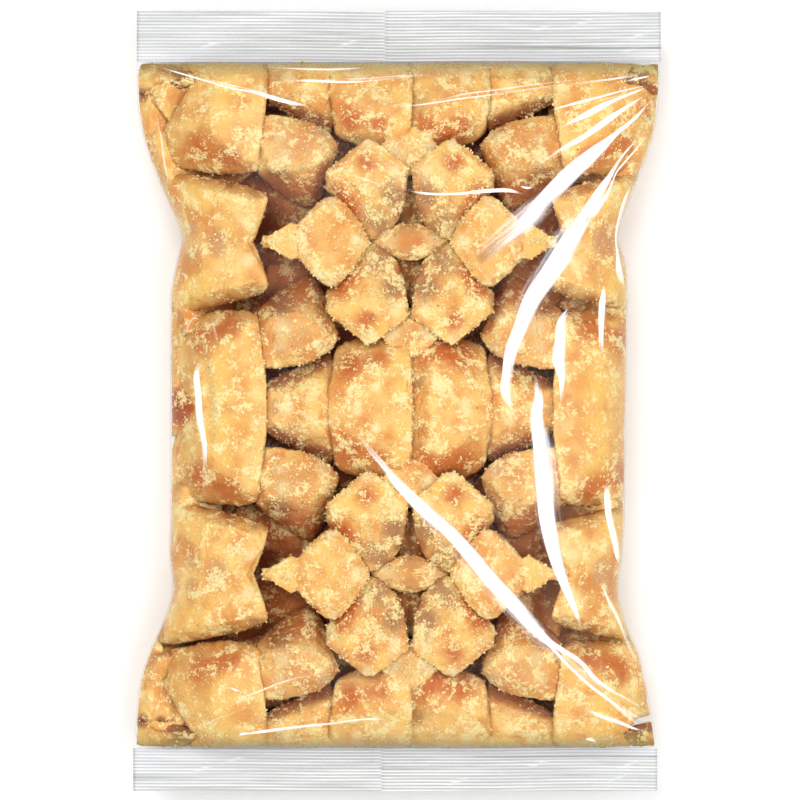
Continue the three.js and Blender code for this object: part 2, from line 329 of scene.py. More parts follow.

# Where each kind of block is tinted, umber stains being painted shade and sand stains sandy colour with
# painted shade: across, along, radius, tint, strength
STAINS = {
    "long_bar": [(67, 22, 6, "caramel", 1), (58, 26, 5.5, "caramel", 0.9), (61, 6, 7, "honey", 0.9),
        (62, 17, 6, "honey", 0.7), (55, 8, 4, "amber", 0.8), (77, 10, 6, "sand", 0.6),
        (49, 5, 3, "cream", 0.5)],
    "edge_knob": [(71, 2, 5, "umber_shade", 1), (76, 3.6, 4, "umber_shade", 1), (81, 4.6, 3.4, "rust", 1),
        (87, 5.5, 3.4, "umber_shade", 1), (82, 0, 2, "honey", 0.5)],
    "notch_piece": [(74, 0, 9, "rust", 1)],
    "saddle": [(32, 4, 3, "cream", 0.5), (44, 9, 4, "umber_shade", 1), (38, 11.5, 4, "umber_shade", 1),
        (32, 14, 4, "umber_shade", 0.9), (27, 16, 4, "umber_shade", 0.9), (24, 9, 3, "caramel", 0.7),
        (31, 1, 3.5, "honey", 0.8), (39.5, 0.5, 2.2, "cream", 0.8), (35.8, 1, 2.2, "amber", 0.9),
        (43.5, 1, 2.5, "sand", 0.8)],
    "split_block": [(19, 14, 5.5, "caramel", 1), (10, 16, 4.5, "caramel", 0.9), (23, 8, 4, "amber", 0.8),
        (3, 6, 4, "honey", 1), (3, 15, 4, "honey", 0.9), (11, 6.5, 1.8, "cream", 1),
        (17, 1, 2.5, "cream", 0.7), (0.5, 10, 1.6, "cream", 0.9)],
    "split_twin": [(16, 17, 6, "caramel", 1), (9, 19, 4, "caramel", 1), (2, 8, 5, "umber_shade", 0.6),
        (4, 16, 4, "caramel", 0.9), (22, 3, 3, "honey", 0.8), (15, 5, 3, "amber", 0.6),
        (18, 1, 2.5, "cream", 0.7)],
    "edge_block": [(74.5, 14, 4, "caramel", 0.9), (81, 5, 2.6, "umber_shade", 1), (87, 5.5, 2.6, "umber_shade", 1),
        (76, 4.5, 2.4, "umber_shade", 0.9), (81, 15, 5, "amber", 0.7), (84, 22, 5, "caramel", 0.5),
        (76, 24, 4, "cream", 0.6)],
    "round_block": [(43, 34, 4.5, "umber_shade", 0.8), (30, 38, 5, "caramel", 0.9), (37, 36, 4, "caramel", 0.7),
        (41, 26, 3, "cream", 0.45), (42, 20, 2.5, "cream", 0.4), (33, 19, 6, "amber", 0.7),
        (27, 19, 3, "cream", 0.6), (47, 18, 4, "amber", 0.7), (38, 15, 3, "honey", 0.7),
        (37, 27, 13, "sand", 0.45)],
    "diamond": [(14, 28, 4.2, "caramel", 1), (19, 32, 4, "honey", 0.9), (9, 25, 4, "honey", 0.9),
        (5, 31, 3, "cream", 0.7), (14, 21.5, 2.5, "cream", 0.8), (22, 39, 5, "caramel", 1),
        (13, 45, 4, "sand", 0.8), (5, 39, 5.5, "clay", 1), (2, 45, 3, "rust", 0.9), (9, 49, 5, "clay", 0.9),
        (19, 44, 4, "caramel", 0.9)],
    "sandy_wedge": [(3, 26, 9, "sand", 0.45), (6, 24, 3, "cream", 0.6)],
    "arrow_head": [(30, 7, 4, "honey", 0.6), (22, 8, 5, "amber", 0.6), (33, 3, 4, "amber", 0.5),
        (17, 0, 3, "cream", 0.9), (38, 2, 3, "amber", 0.5), (25, 13.5, 2.5, "cream", 0.7)],
    "arrow_tip": [(40, 1, 6, "honey", 0.9)],
    "sunken_block": [(38, 10, 12, "sand", 0.6), (34, 6, 5, "umber_shade", 0.5)],
    "waisted_block": [(65, 3, 6, "amber", 0.5), (62, 1, 4, "mauve", 0.7), (71, 4, 3, "mauve", 0.6),
        (67, 13, 5, "honey", 0.8), (56, 9, 3, "cream", 0.4), (70, 17, 5, "honey", 1),
        (58, 20.5, 4, "umber_shade", 0.8), (66, 22.5, 3, "umber_shade", 0.8), (50, 16, 3, "sand", 0.8),
        (52, 6, 3, "cream", 0.7)],
    "middle_block": [(0, 0, 6, "amber", 0.5), (0, 5, 4, "sand", 0.8), (8, 2, 4, "cream", 0.6),
        (-8, 2, 4, "cream", 0.6)],
    "middle_chip": [(7, 2.5, 5, "cream", 0.9)],
    "red_wedge": [(2, 43, 14, "umber_shade", 0.7)],
}


def tint_at(kind, across, along):
    """The mixed tint of a kind of block at each place, with its strength last."""
    mixed = np.zeros((len(across), 4))
    total = np.zeros(len(across))
    for a, b, radius, tint, strength in STAINS.get(kind, []):
        distance = np.hypot(across - a, along - b) / radius
        weight = strength * np.clip(STAIN_REACH - distance, 0, 1)
        mixed[:, :3] += weight[:, None] * np.array(TINTS[tint][:3])
        total += weight
    mixed[:, :3] /= np.maximum(total, 1e-6)[:, None]
    mixed[:, 3] = np.clip(total, 0, 1)
    return mixed


def hull_planes(corners):
    """Outward normals of the corners' convex hull, and each plane's distance from the origin."""
    bm = bmesh.new()
    for corner in corners:
        bm.verts.new(corner)
    bmesh.ops.convex_hull(bm, input=bm.verts)
    bmesh.ops.dissolve_limit(bm, angle_limit=math.radians(4), verts=bm.verts, edges=bm.edges)
    bm.normal_update()
    middle = np.mean([v.co for v in bm.verts], axis=0)
    normals, offsets = [], []
    for face in bm.faces:
        normal = np.array(face.normal)
        offset = float(normal @ np.array(face.calc_center_median()))
        if normal @ middle > offset:
            normal, offset = -normal, -offset
        normals.append(normal)
        offsets.append(offset)
    bm.free()
    return np.array(normals), np.array(offsets)


def buried(feet, others):
    """Which of the points lie inside one of the other hulls."""
    hidden = np.zeros(len(feet), bool)
    for normals, offsets in others:
        hidden |= (feet @ normals.T < offsets - BURIED).all(axis=1)
    return hidden


def hull_surface(directions, centre, hulls):
    """How far the hulls reach from a centre inside them, 1 where two faces meet, and each face's normal."""
    reach = np.zeros(len(directions))
    crease = np.zeros(len(directions))
    face = np.zeros((len(directions), 3))
    rows = np.arange(len(directions))
    for k, (normals, offsets) in enumerate(hulls):
        distances = np.maximum(offsets - normals @ centre, NEAREST_FACE)
        shares = np.maximum(directions @ normals.T, 0) / distances
        this_reach = np.sum(shares**CORNER_SHARPNESS, axis=1) ** (-1 / CORNER_SHARPNESS)
        hidden = buried(centre + normals * distances[:, None], hulls[:k] + hulls[k + 1:])
        shares = np.where(hidden, 0, shares)
        order = np.argpartition(shares, -2, axis=1)
        first, second = order[:, -1], order[:, -2]
        ratio = shares[rows, second] / np.maximum(shares[rows, first], 1e-6)
        closeness = np.clip((ratio - CREASE_START) / (1 - CREASE_START), 0, 1)
        turn = 1 - np.sum(normals[first] * normals[second], axis=1)
        this_crease = closeness * np.clip(turn / CREASE_TURN, 0, 1)
        further = this_reach > reach
        reach = np.where(further, this_reach, reach)
        crease = np.where(further, this_crease, crease)
        face = np.where(further[:, None], normals[first], face)
    return reach, crease, face


def held_inside(centre, directions, reach, clearance, cover=0):
    """Shortens each reach where it would leave the pack, or come within the cover of the roof."""
    def room(lengths):
        points = centre + directions * lengths[:, None]
        left = room_inside(points)
        if cover:
            left = np.minimum(left, roof_height(points[:, 0], points[:, 1]) - points[:, 2] - cover)
        return left

    low, high = np.zeros(len(reach)), reach.copy()
    fits = room(reach) >= clearance
    for _ in range(HALVINGS):
        middle = (low + high) / 2
        inside = room(middle) >= clearance
        low = np.where(inside, middle, low)
        high = np.where(inside, high, middle)
    return np.where(fits, reach, low)


def seal_tint(y):
    """1 beside a seal, 0 from a few millimetres on."""
    return np.clip(1 - from_nearest_join(y) / SEAL_TINT_RUN, 0, 1)


def ball(fineness, refined):
    """A sphere's mesh; a refined one has smaller faces on its upper side."""
    bm = bmesh.new()
    bmesh.ops.create_icosphere(bm, subdivisions=fineness, radius=1.0)
    if refined:
        upper = [e for e in bm.edges if min(v.co.z for v in e.verts) > 0.1]
        bmesh.ops.subdivide_edges(bm, edges=upper, cuts=1, use_grid_fill=True)
        bmesh.ops.triangulate(bm, faces=bm.faces)
    return mesh_from("ball", bm)


BALLS = {"fine": ball(5 - QUICK, True), "medium": ball(5 - QUICK, False), "coarse": ball(4, False)}
resting_places = []         # points on the blocks, with the way out of the block and how creased it is there


def relief_of(places, crease, width, seed):
    """How far each place of a block stands out, with crumbled creases and small pits, and its lumps alone."""
    broad = sampled(places, BROAD, seed, 2)
    lumpy = sampled(places, LUMP, seed + 31, 3)
    grainy = sampled(places, GRAIN, seed + 67, 2)
    pitted = np.clip(sampled(places, PIT, seed + 11, 2) - 0.25, 0, 1)
    relief = 0.25 * broad + (0.16 + 0.6 * crease) * lumpy + (0.1 + 0.9 * crease) * grainy
    relief -= 0.8 * pitted + crease * (0.05 + 1.6 * np.clip(lumpy - 0.1, 0, 1))
    return relief * np.clip(width / FULL_SIZE, 0.4, 1), lumpy


def grain_and_shade_of(places, crease, face, lumpy, tone, seed):
    """Each place's painted shade, darker deep in the heap and on steep faces, crease, tone, with painted
    light and shade that changes at random from face to face, and seal tint.
    """
    # Painted shade: each place darkens with its depth below the film and on steep faces
    steep = 1 - smooth_step(face[:, 2] + 0.1 * lumpy, 0.42, 0.88)
    depth = np.clip((room_inside(places) - SHADE_START) / SHADE_RUN + STEEP_SHADE * steep, 0, 1)
    # A tone that changes at random from face to face, painting light and shade on the facets
    facet_light_and_tone = 0.5 + 0.5 * np.sin(face @ np.array([7.0, 9.0, 4.0]) + seed)
    tones = np.clip(tone + 0.85 * (facet_light_and_tone - 0.5), 0, 1)
    return np.column_stack([depth, crease, tones, seal_tint(places[:, 1])])


def add_block(bm, hulls, centre, size, seed, tone, tints=None, cover=0):
    """Adds one crumbly block, if it fits: a ball stretched to the union of its hulls, then roughened."""
    headroom = float(roof_height(centre[0], centre[1])) - centre[2]
    if room_inside(np.array(centre)) < LEAST_ROOM or headroom < cover + LEAST_ROOM:
        return
    planes = [hull_planes(corners) for corners in hulls]
    if min((offsets - normals @ centre).min() for normals, offsets in planes) < 0.5:
        return
    start = len(bm.verts)
    bm.from_mesh(BALLS[size])
    bm.verts.ensure_lookup_table()
    made = bm.verts[start:]
    sphere = np.array([v.co for v in made])
    extent = np.ptp(np.concatenate([np.array(h) for h in hulls]), axis=0)
    directions = (sphere + np.array([0, 0, TOP_FOCUS])) * extent
    directions /= np.linalg.norm(directions, axis=1)[:, None]

    reach, crease, face = hull_surface(directions, centre, planes)
    reach = held_inside(centre, directions, reach, FILM_CLEARANCE, cover)
    relief, lumpy = relief_of(centre + directions * reach[:, None], crease, extent[:2].min(), seed)
    reach = np.maximum(reach + relief, 0.5)
    reach = held_inside(centre, directions, reach, FILM_CLEARANCE * 0.6, cover)
    places = centre + directions * reach[:, None]

    grain_and_shade_values = grain_and_shade_of(places, crease, face, lumpy, tone, seed)
    stains = tints(places) if tints else np.zeros((len(places), 4))
    grain_and_shade, tint = bm.verts.layers.float_color["grain_and_shade"], bm.verts.layers.float_color["tint"]
    for vertex, place, grain_and_shade_here, stain in zip(made, places, grain_and_shade_values, stains):
        vertex.co = place
        vertex[grain_and_shade] = grain_and_shade_here
        vertex[tint] = stain
    resting_places.append(np.column_stack([places, directions, crease]))


def film_point(x, y, drop):
    """A place below the film; near the pack's rim the drop is smaller."""
    roof = float(roof_height(x, y))
    return (x, y, roof - drop * min(1, (roof - SEAL_LIFT) / RIM_RISE))


def block_corners(outline, x_of, y_of):
    """The hull's corners: those given, and the outline again at the block's underside."""
    top = [film_point(x_of(a), y_of(b), drop) for a, b, drop in outline]
    middle = np.mean(np.array(top), axis=0)
    floor = middle[2] - BLOCK_DEPTH
    base = [(middle[0] + (x - middle[0]) * BASE_TAPER, middle[1] + (y - middle[1]) * BASE_TAPER, floor)
            for x, y, _ in top]
    return [Vector(p) for p in top + base]


def block_centre(hulls):
    """A point inside the hulls and well inside the pack."""
    corners = np.concatenate([np.array(h) for h in hulls])
    x, y, z = corners.mean(axis=0)
    y = np.clip(y, BOTTOM_JOIN + 3.2, TOP_JOIN - 3.2)       # clear of the seals and the pack's sides
    x = np.clip(x, left_edge(y) + 5, right_edge(y) - 5)
    z = np.clip(z, underside_height(x, y) + 1.6, roof_height(x, y) - 1.8)
    return np.array([x, y, z])


def new_blocks():
    bm = bmesh.new()
    bm.verts.layers.float_color.new("grain_and_shade")
    bm.verts.layers.float_color.new("tint")
    return bm


def tints_of(kind, side, row_y, turn=0):
    """The tint of a kind of block placed on one side of the fold; turn 0 mirrors it about its row."""
    def tints(places):
        across = (FOLD_X - places[:, 0]) * side
        along = (places[:, 1] - row_y) * turn if turn else np.abs(places[:, 1] - row_y)
        return tint_at(kind, across, along)
    return tints


def size_of(kind):
    return "fine" if kind in FINELY_MADE else "coarse" if kind in COARSELY_MADE else "medium"


def halved_blocks(kind, outline, rows, seed, material):
    """Blocks that their row lines cut in two mirrored halves, on both sides of the fold."""
    bm = new_blocks()
    half = outline + [(a, -b - MIRROR_LAP, drop + MIRROR_DROP) for a, b, drop in outline if b <= ON_THE_LINE]
    for row_y in rows:
        for side in (1, -1):
            seed += 1
            if ONE_SIDED.get(kind, side) != side:
                continue
            if kind in (WIDE_PART_ONLY if row_y == FOLD_Y else WAIST_ONLY):
                continue
            hulls = [block_corners(half, lambda a: FOLD_X - side * a, lambda b: row_y + turn * b)
                     for turn in (-1, 1)]
            centre = block_centre(hulls)
            add_block(bm, hulls, centre, size_of(kind), seed, TONES[kind], tints_of(kind, side, row_y))
    return heap_piece(kind + "s", bm, material)


def paired_blocks(kind, outline, rows, seed, material):
    """Blocks that come in pairs, one on each side of their row line, on both sides of the fold."""
    bm = new_blocks()
    for row_y in rows:
        for turn in (-1, 1):
            for side in (1, -1):
                seed += 1
                if kind in WIDE_PART_ONLY and row_y == FOLD_Y:
                    continue
                corners = block_corners(outline, lambda a: FOLD_X - side * a, lambda b: row_y + turn * b)
                centre = block_centre([corners])
                if abs(centre[1] - np.mean([c.y for c in corners])) < PUSHED_IN:
                    add_block(bm, [corners], centre, size_of(kind), seed, TONES[kind],
                              tints_of(kind, side, row_y, turn))
    return heap_piece(kind + "s", bm, material)


def top_layer(material):
    seed = 0
    for kind, outline in RIDGE_KINDS.items():
        seed += 20
        halved_blocks(kind, outline, RIDGE_ROWS, seed, material)
    for kind, outline in CROSS_KINDS.items():
        seed += 20
        make = paired_blocks if kind in PAIRS else halved_blocks
        make(kind, outline, CROSS_ROWS, seed, material)
    for kind, outline in BETWEEN_KINDS.items():
        seed += 20
        paired_blocks(kind, outline, RIDGE_ROWS, seed, material)


DEEP_PITCH = 26.5
DEEP_ROW_SHARE = 0.9        # rows are this much closer than columns
DEEP_SPREAD = 2.5           # how far a block is off its place in the rows
DEEP_SIZES = [(23, 28), (21, 26), (18, 22)]     # smallest and largest length, width and height
DEEP_LEAN = 0.35
DEEP_COVER = 3.0            # the deep blocks stay this far below the film's roof
SEAL_MARGIN = 4.0           # no deep block's middle is nearer to a seal than this,
SIDE_MARGIN = 8.0           # or to a side than this
SIDE_LAP = 5.0              # blocks laid out up to this far past a side are drawn in
OVER_MIDDLE = 4.0           # where the pack is low, a block's middle is this far over the pack's own middle
OVER_FLOOR = 5.0            # and never nearer to the underside than this
OUTER_RING = 18.0           # blocks closer to a side than this may be made finer
WORN = 0.82                 # a corner is drawn in to this share of its block at most


def box_hull(centre, size, turn, lean, rng):
    """Corners of an uneven block, turned about the vertical and leaning a little."""
    corners = []
    for signs in itertools.product((-1, 1), repeat=3):
        worn = [rng.uniform(WORN, 1.0) for _ in range(3)]
        corner = Vector([sign * side * share for sign, side, share in zip(signs, size, worn)]) / 2
        corner.rotate(turn)
        corner.rotate(lean)
        corners.append(corner + Vector(centre))
    return corners


def deep_blocks(name, height, cover, offset, seed, rim_size, material):
    """One loose layer of the blocks under the top ones, which show at the sides and underneath."""
    rng = random.Random(seed)
    bm = new_blocks()
    for row in range(-5, 6):
        for column in range(-4, 5):
            x = (column + 0.5 * (row % 2)) * DEEP_PITCH + rng.uniform(-DEEP_SPREAD, DEEP_SPREAD) + offset
            y = row * DEEP_PITCH * DEEP_ROW_SHARE + rng.uniform(-DEEP_SPREAD, DEEP_SPREAD) + offset
            size = [rng.uniform(*limits) for limits in DEEP_SIZES]
            turn = Quaternion((0, 0, 1), rng.uniform(0, math.pi))
            lean = Quaternion((rng.uniform(-1, 1), rng.uniform(-1, 1), 0), rng.uniform(0, DEEP_LEAN))
            if from_nearest_join(y) <= SEAL_MARGIN:
                continue
            if not left_edge(y) - SIDE_LAP < x < right_edge(y) + SIDE_LAP:
                continue
            x = float(np.clip(x, left_edge(y) + SIDE_MARGIN, right_edge(y) - SIDE_MARGIN))
            ceiling = float(roof_height(x, y)) - cover
            floor = float(underside_height(x, y))
            z = max(min(height, (ceiling + floor) / 2 + OVER_MIDDLE), floor + OVER_FLOOR)
            corners = box_hull((x, y, z), size, turn, lean, rng)
            ring = min(x - left_edge(y), right_edge(y) - x, from_nearest_join(y))
            centre = block_centre([corners])
            headroom = float(roof_height(centre[0], centre[1])) - centre[2]
            centre[2] -= max(0, DEEP_COVER + LEAST_ROOM + 0.1 - headroom)
            add_block(bm, [corners], centre, rim_size if ring < OUTER_RING else "coarse",
                      rng.randint(1, 900), rng.random(), cover=DEEP_COVER)
    return heap_piece(name, bm, material)


CRUMB_COUNT = 7900
CRUMB_RADII = (0.18, 0.46)  # the common crumbs' smallest and largest radius
RARE_CRUMB = 0.65           # its fourth power is what the largest crumbs' radius has more


def crumbs(material):
    """Sugar crumbs that stick to the blocks, most of all along their edges."""
    rng = np.random.default_rng(5)
    places = np.concatenate(resting_places)
    crease = places[:, 6]
    room = room_inside(places[:, :3])
    chance = np.where((room < 12) & (room > FILM_CLEARANCE * 0.5), 0.06 + crease**2, 0)
    chance *= np.clip(places[:, 5] + 0.6, 0.1, 1)
    chosen = places[rng.choice(len(places), CRUMB_COUNT, replace=False, p=chance / chance.sum())]
    radius = rng.uniform(*CRUMB_RADII, CRUMB_COUNT) + rng.uniform(0, RARE_CRUMB, CRUMB_COUNT) ** 4
    centres = chosen[:, :3] + chosen[:, 3:6] * radius[:, None] * 0.4
    radius = np.clip(radius, 0.12, room_inside(centres) - 0.1)

    bm = bmesh.new()
    bmesh.ops.create_icosphere(bm, subdivisions=1, radius=1.0)
    crumb = np.array([v.co for v in bm.verts])
    faces = np.array([[v.index for v in f.verts] for f in bm.faces])
    bm.free()
    corners = len(crumb)
    shapes = crumb * rng.uniform(0.7, 1.2, (CRUMB_COUNT, 1, 3))
    shapes += rng.uniform(-0.2, 0.2, (CRUMB_COUNT, corners, 3))
    points = (centres[:, None, :] + shapes * radius[:, None, None]).reshape(-1, 3)
    all_faces = (faces[None] + corners * np.arange(CRUMB_COUNT)[:, None, None]).reshape(-1, 3)
    mesh = bpy.data.meshes.new("sugar_crumbs")
    mesh.from_pydata(points * MM, [], all_faces)
    grain_and_shade = np.ones((len(points), 4), np.float32)
    grain_and_shade[:, 2] = np.repeat(rng.uniform(0, 1, CRUMB_COUNT), corners)
    # Painted shade on crumbs that lie deep in the heap
    grain_and_shade[:, 0] = np.repeat(np.clip((room_inside(centres) - 4) / 8, 0, 0.9), corners)
    grain_and_shade[:, 3] = seal_tint(points[:, 1])
    tint = np.tile(np.array([*TINTS["cream"][:3], 0.9], np.float32), len(points))
    for layer, values in (("grain_and_shade", grain_and_shade.ravel()), ("tint", tint)):
        mesh.attributes.new(layer, "FLOAT_COLOR", "POINT").data.foreach_set("color", values)
    place_piece(mesh, material, ["filled_pack"])


# ---------------------------------------------------------------- the film

ROOF_SHARE = 0.4            # the roof's rise, as a share of half the pack's width
END_SHARE = 0.27            # the same along its length
FILM_GAP = 0.25             # air between the film and the blocks
TIGHTENING_STEPS = 260
FILM_COLUMNS, FILM_ROWS = 176, 226
SEAM_X = -10.8              # the lap seam and the groove in the underside that takes it
GROOVE_WIDTH = 14.4
GROOVE_DEPTH = 1.25
CORE_COLUMNS, CORE_ROWS = 50, 66
CORE_SHARE = 0.86           # the core's size, as a share of the pack's
CORE_COVER = 18.0           # its depth below the roof
CORE_FLOOR = 5.5            # its height over the underside


def even_stations(count, height_at):
    """Places from -1 to 1, an even way apart along the outline that height_at draws over them."""
    fine = np.sin(np.linspace(-math.pi / 2, math.pi / 2, 4001))
    heights = height_at(fine)
    steps = np.hypot(np.diff(fine), np.diff(heights))
    along = np.concatenate([[0], np.cumsum(steps)])
    return np.interp(np.linspace(0, along[-1], count), along, fine)


def film_stations(columns, rows):
    """Grids of the places across and along the pack that a shell's vertices take."""
    across = even_stations(columns, lambda s: ROOF_SHARE * side_profile(np.abs(s)))
    middle = (TOP_JOIN + BOTTOM_JOIN) / 2
    half = (TOP_JOIN - BOTTOM_JOIN) / 2
    along = middle + half * even_stations(
        rows, lambda s: END_SHARE * swell(half * (1 - np.abs(s)), ROOF_RUN))
    left, right = left_edge(along)[:, None], right_edge(along)[:, None]
    x = (left + right) / 2 + (right - left) / 2 * across[None, :]
    return x, np.repeat(along[:, None], columns, axis=1)


def add_sheet(bm, x, y, z):
    """Adds a grid with its vertices at the places given, row by row."""
    rows, columns = x.shape
    made = bmesh.ops.create_grid(bm, x_segments=columns - 1, y_segments=rows - 1, size=1.0)["verts"]
    for vertex, place in zip(made, zip(x.ravel(), y.ravel(), z.ravel())):
        vertex.co = place
    return made


def closed_shell(x, y, top, bottom):
    """A closed skin of two sheets that meet along their rims."""
    bm = bmesh.new()
    add_sheet(bm, x, y, top)
    below = add_sheet(bm, x, y, bottom)
    bmesh.ops.reverse_faces(bm, faces=list({f for v in below for f in v.link_faces}))
    bmesh.ops.remove_doubles(bm, verts=bm.verts, dist=0.002)
    return bm


def with_rim(z, rim):
    """Gives a sheet's outermost vertices other heights."""
    for part in (np.s_[0, :], np.s_[-1, :], np.s_[:, 0], np.s_[:, -1]):
        z[part] = rim[part]
    return z


def rim_to_waist(z, x, y):
    """Brings a sheet's outermost vertices to the widest line."""
    return with_rim(z, waist_height(x, y))


def heap_top():
    """A raster of the blocks' highest points, a millimetre apart."""
    size = (int(PACK_LENGTH), int(SEAL_WIDTH) + 8)
    top = np.zeros(size)
    points = np.concatenate(resting_places)[:, :3]
    rows = np.clip((points[:, 1] + size[0] / 2).astype(int), 1, size[0] - 2)
    columns = np.clip((points[:, 0] + size[1] / 2).astype(int), 1, size[1] - 2)
    for row_step in (-1, 0, 1):
        for column_step in (-1, 0, 1):
            np.maximum.at(top, (rows + row_step, columns + column_step), points[:, 2])
    return top


def draped(x, y):
    """The film's roof: pulled tight over the blocks, and straight from one to the next."""
    top = heap_top()
    rows = np.clip((y + top.shape[0] / 2).astype(int), 0, top.shape[0] - 1)
    columns = np.clip((x + top.shape[1] / 2).astype(int), 0, top.shape[1] - 1)
    roof = roof_height(x, y)
    under = np.minimum(top[rows, columns] + FILM_GAP, roof)
    z = rim_to_waist(roof.copy(), x, y)
    for _ in range(TIGHTENING_STEPS):
        middle = (z[:-2, 1:-1] + z[2:, 1:-1] + z[1:-1, :-2] + z[1:-1, 2:]) / 4
        z[1:-1, 1:-1] = np.maximum(middle, under[1:-1, 1:-1])
    near_seal = 1 - smooth_step(from_nearest_join(y), 1.0, 6.0)
    z = z * (1 - near_seal) + roof * near_seal
    return rim_to_waist(z, x, y)


def film_underside(x, y):
    groove = GROOVE_DEPTH * smooth_step(GROOVE_WIDTH / 2 + 0.8 - np.abs(x - SEAM_X), 0, 1.6)
    calm = smooth_step(from_nearest_join(y), 2.0, 9.0)
    return underside_height(x, y) + groove * calm


def pack_film(material):
    """The clear film: a closed skin round the whole heap. Gives back its roof's places."""
    x, y = film_stations(FILM_COLUMNS, FILM_ROWS)
    top = draped(x, y)
    bm = closed_shell(x, y, top, rim_to_waist(film_underside(x, y), x, y))
    add_piece("pack_film", bm, material, ["filled_pack"])
    return x, y, top


def dark_core(material):
    """The middle of the heap, which closes the gaps between the blocks round it, painted in full shade."""
    x, y = film_stations(CORE_COLUMNS, CORE_ROWS)
    x, y = x * CORE_SHARE, y * CORE_SHARE
    bottom = underside_height(x, y) + CORE_FLOOR
    top = np.maximum(roof_height(x, y) - CORE_COVER, bottom + 0.5)
    bottom = np.minimum(bottom, top - 0.4)
    rim = (top + bottom) / 2
    bm = closed_shell(x, y, with_rim(top, rim), with_rim(bottom, rim))
    grain_and_shade = bm.verts.layers.float_color.new("grain_and_shade")
    for vertex in bm.verts:
        vertex.co.z += noise.fractal(vertex.co / 6, 1.0, 2.0, 3)
        # Full painted shade all over
        vertex[grain_and_shade] = (1, 0, 0.3, 0)
    return heap_piece("heap_core", bm, material)
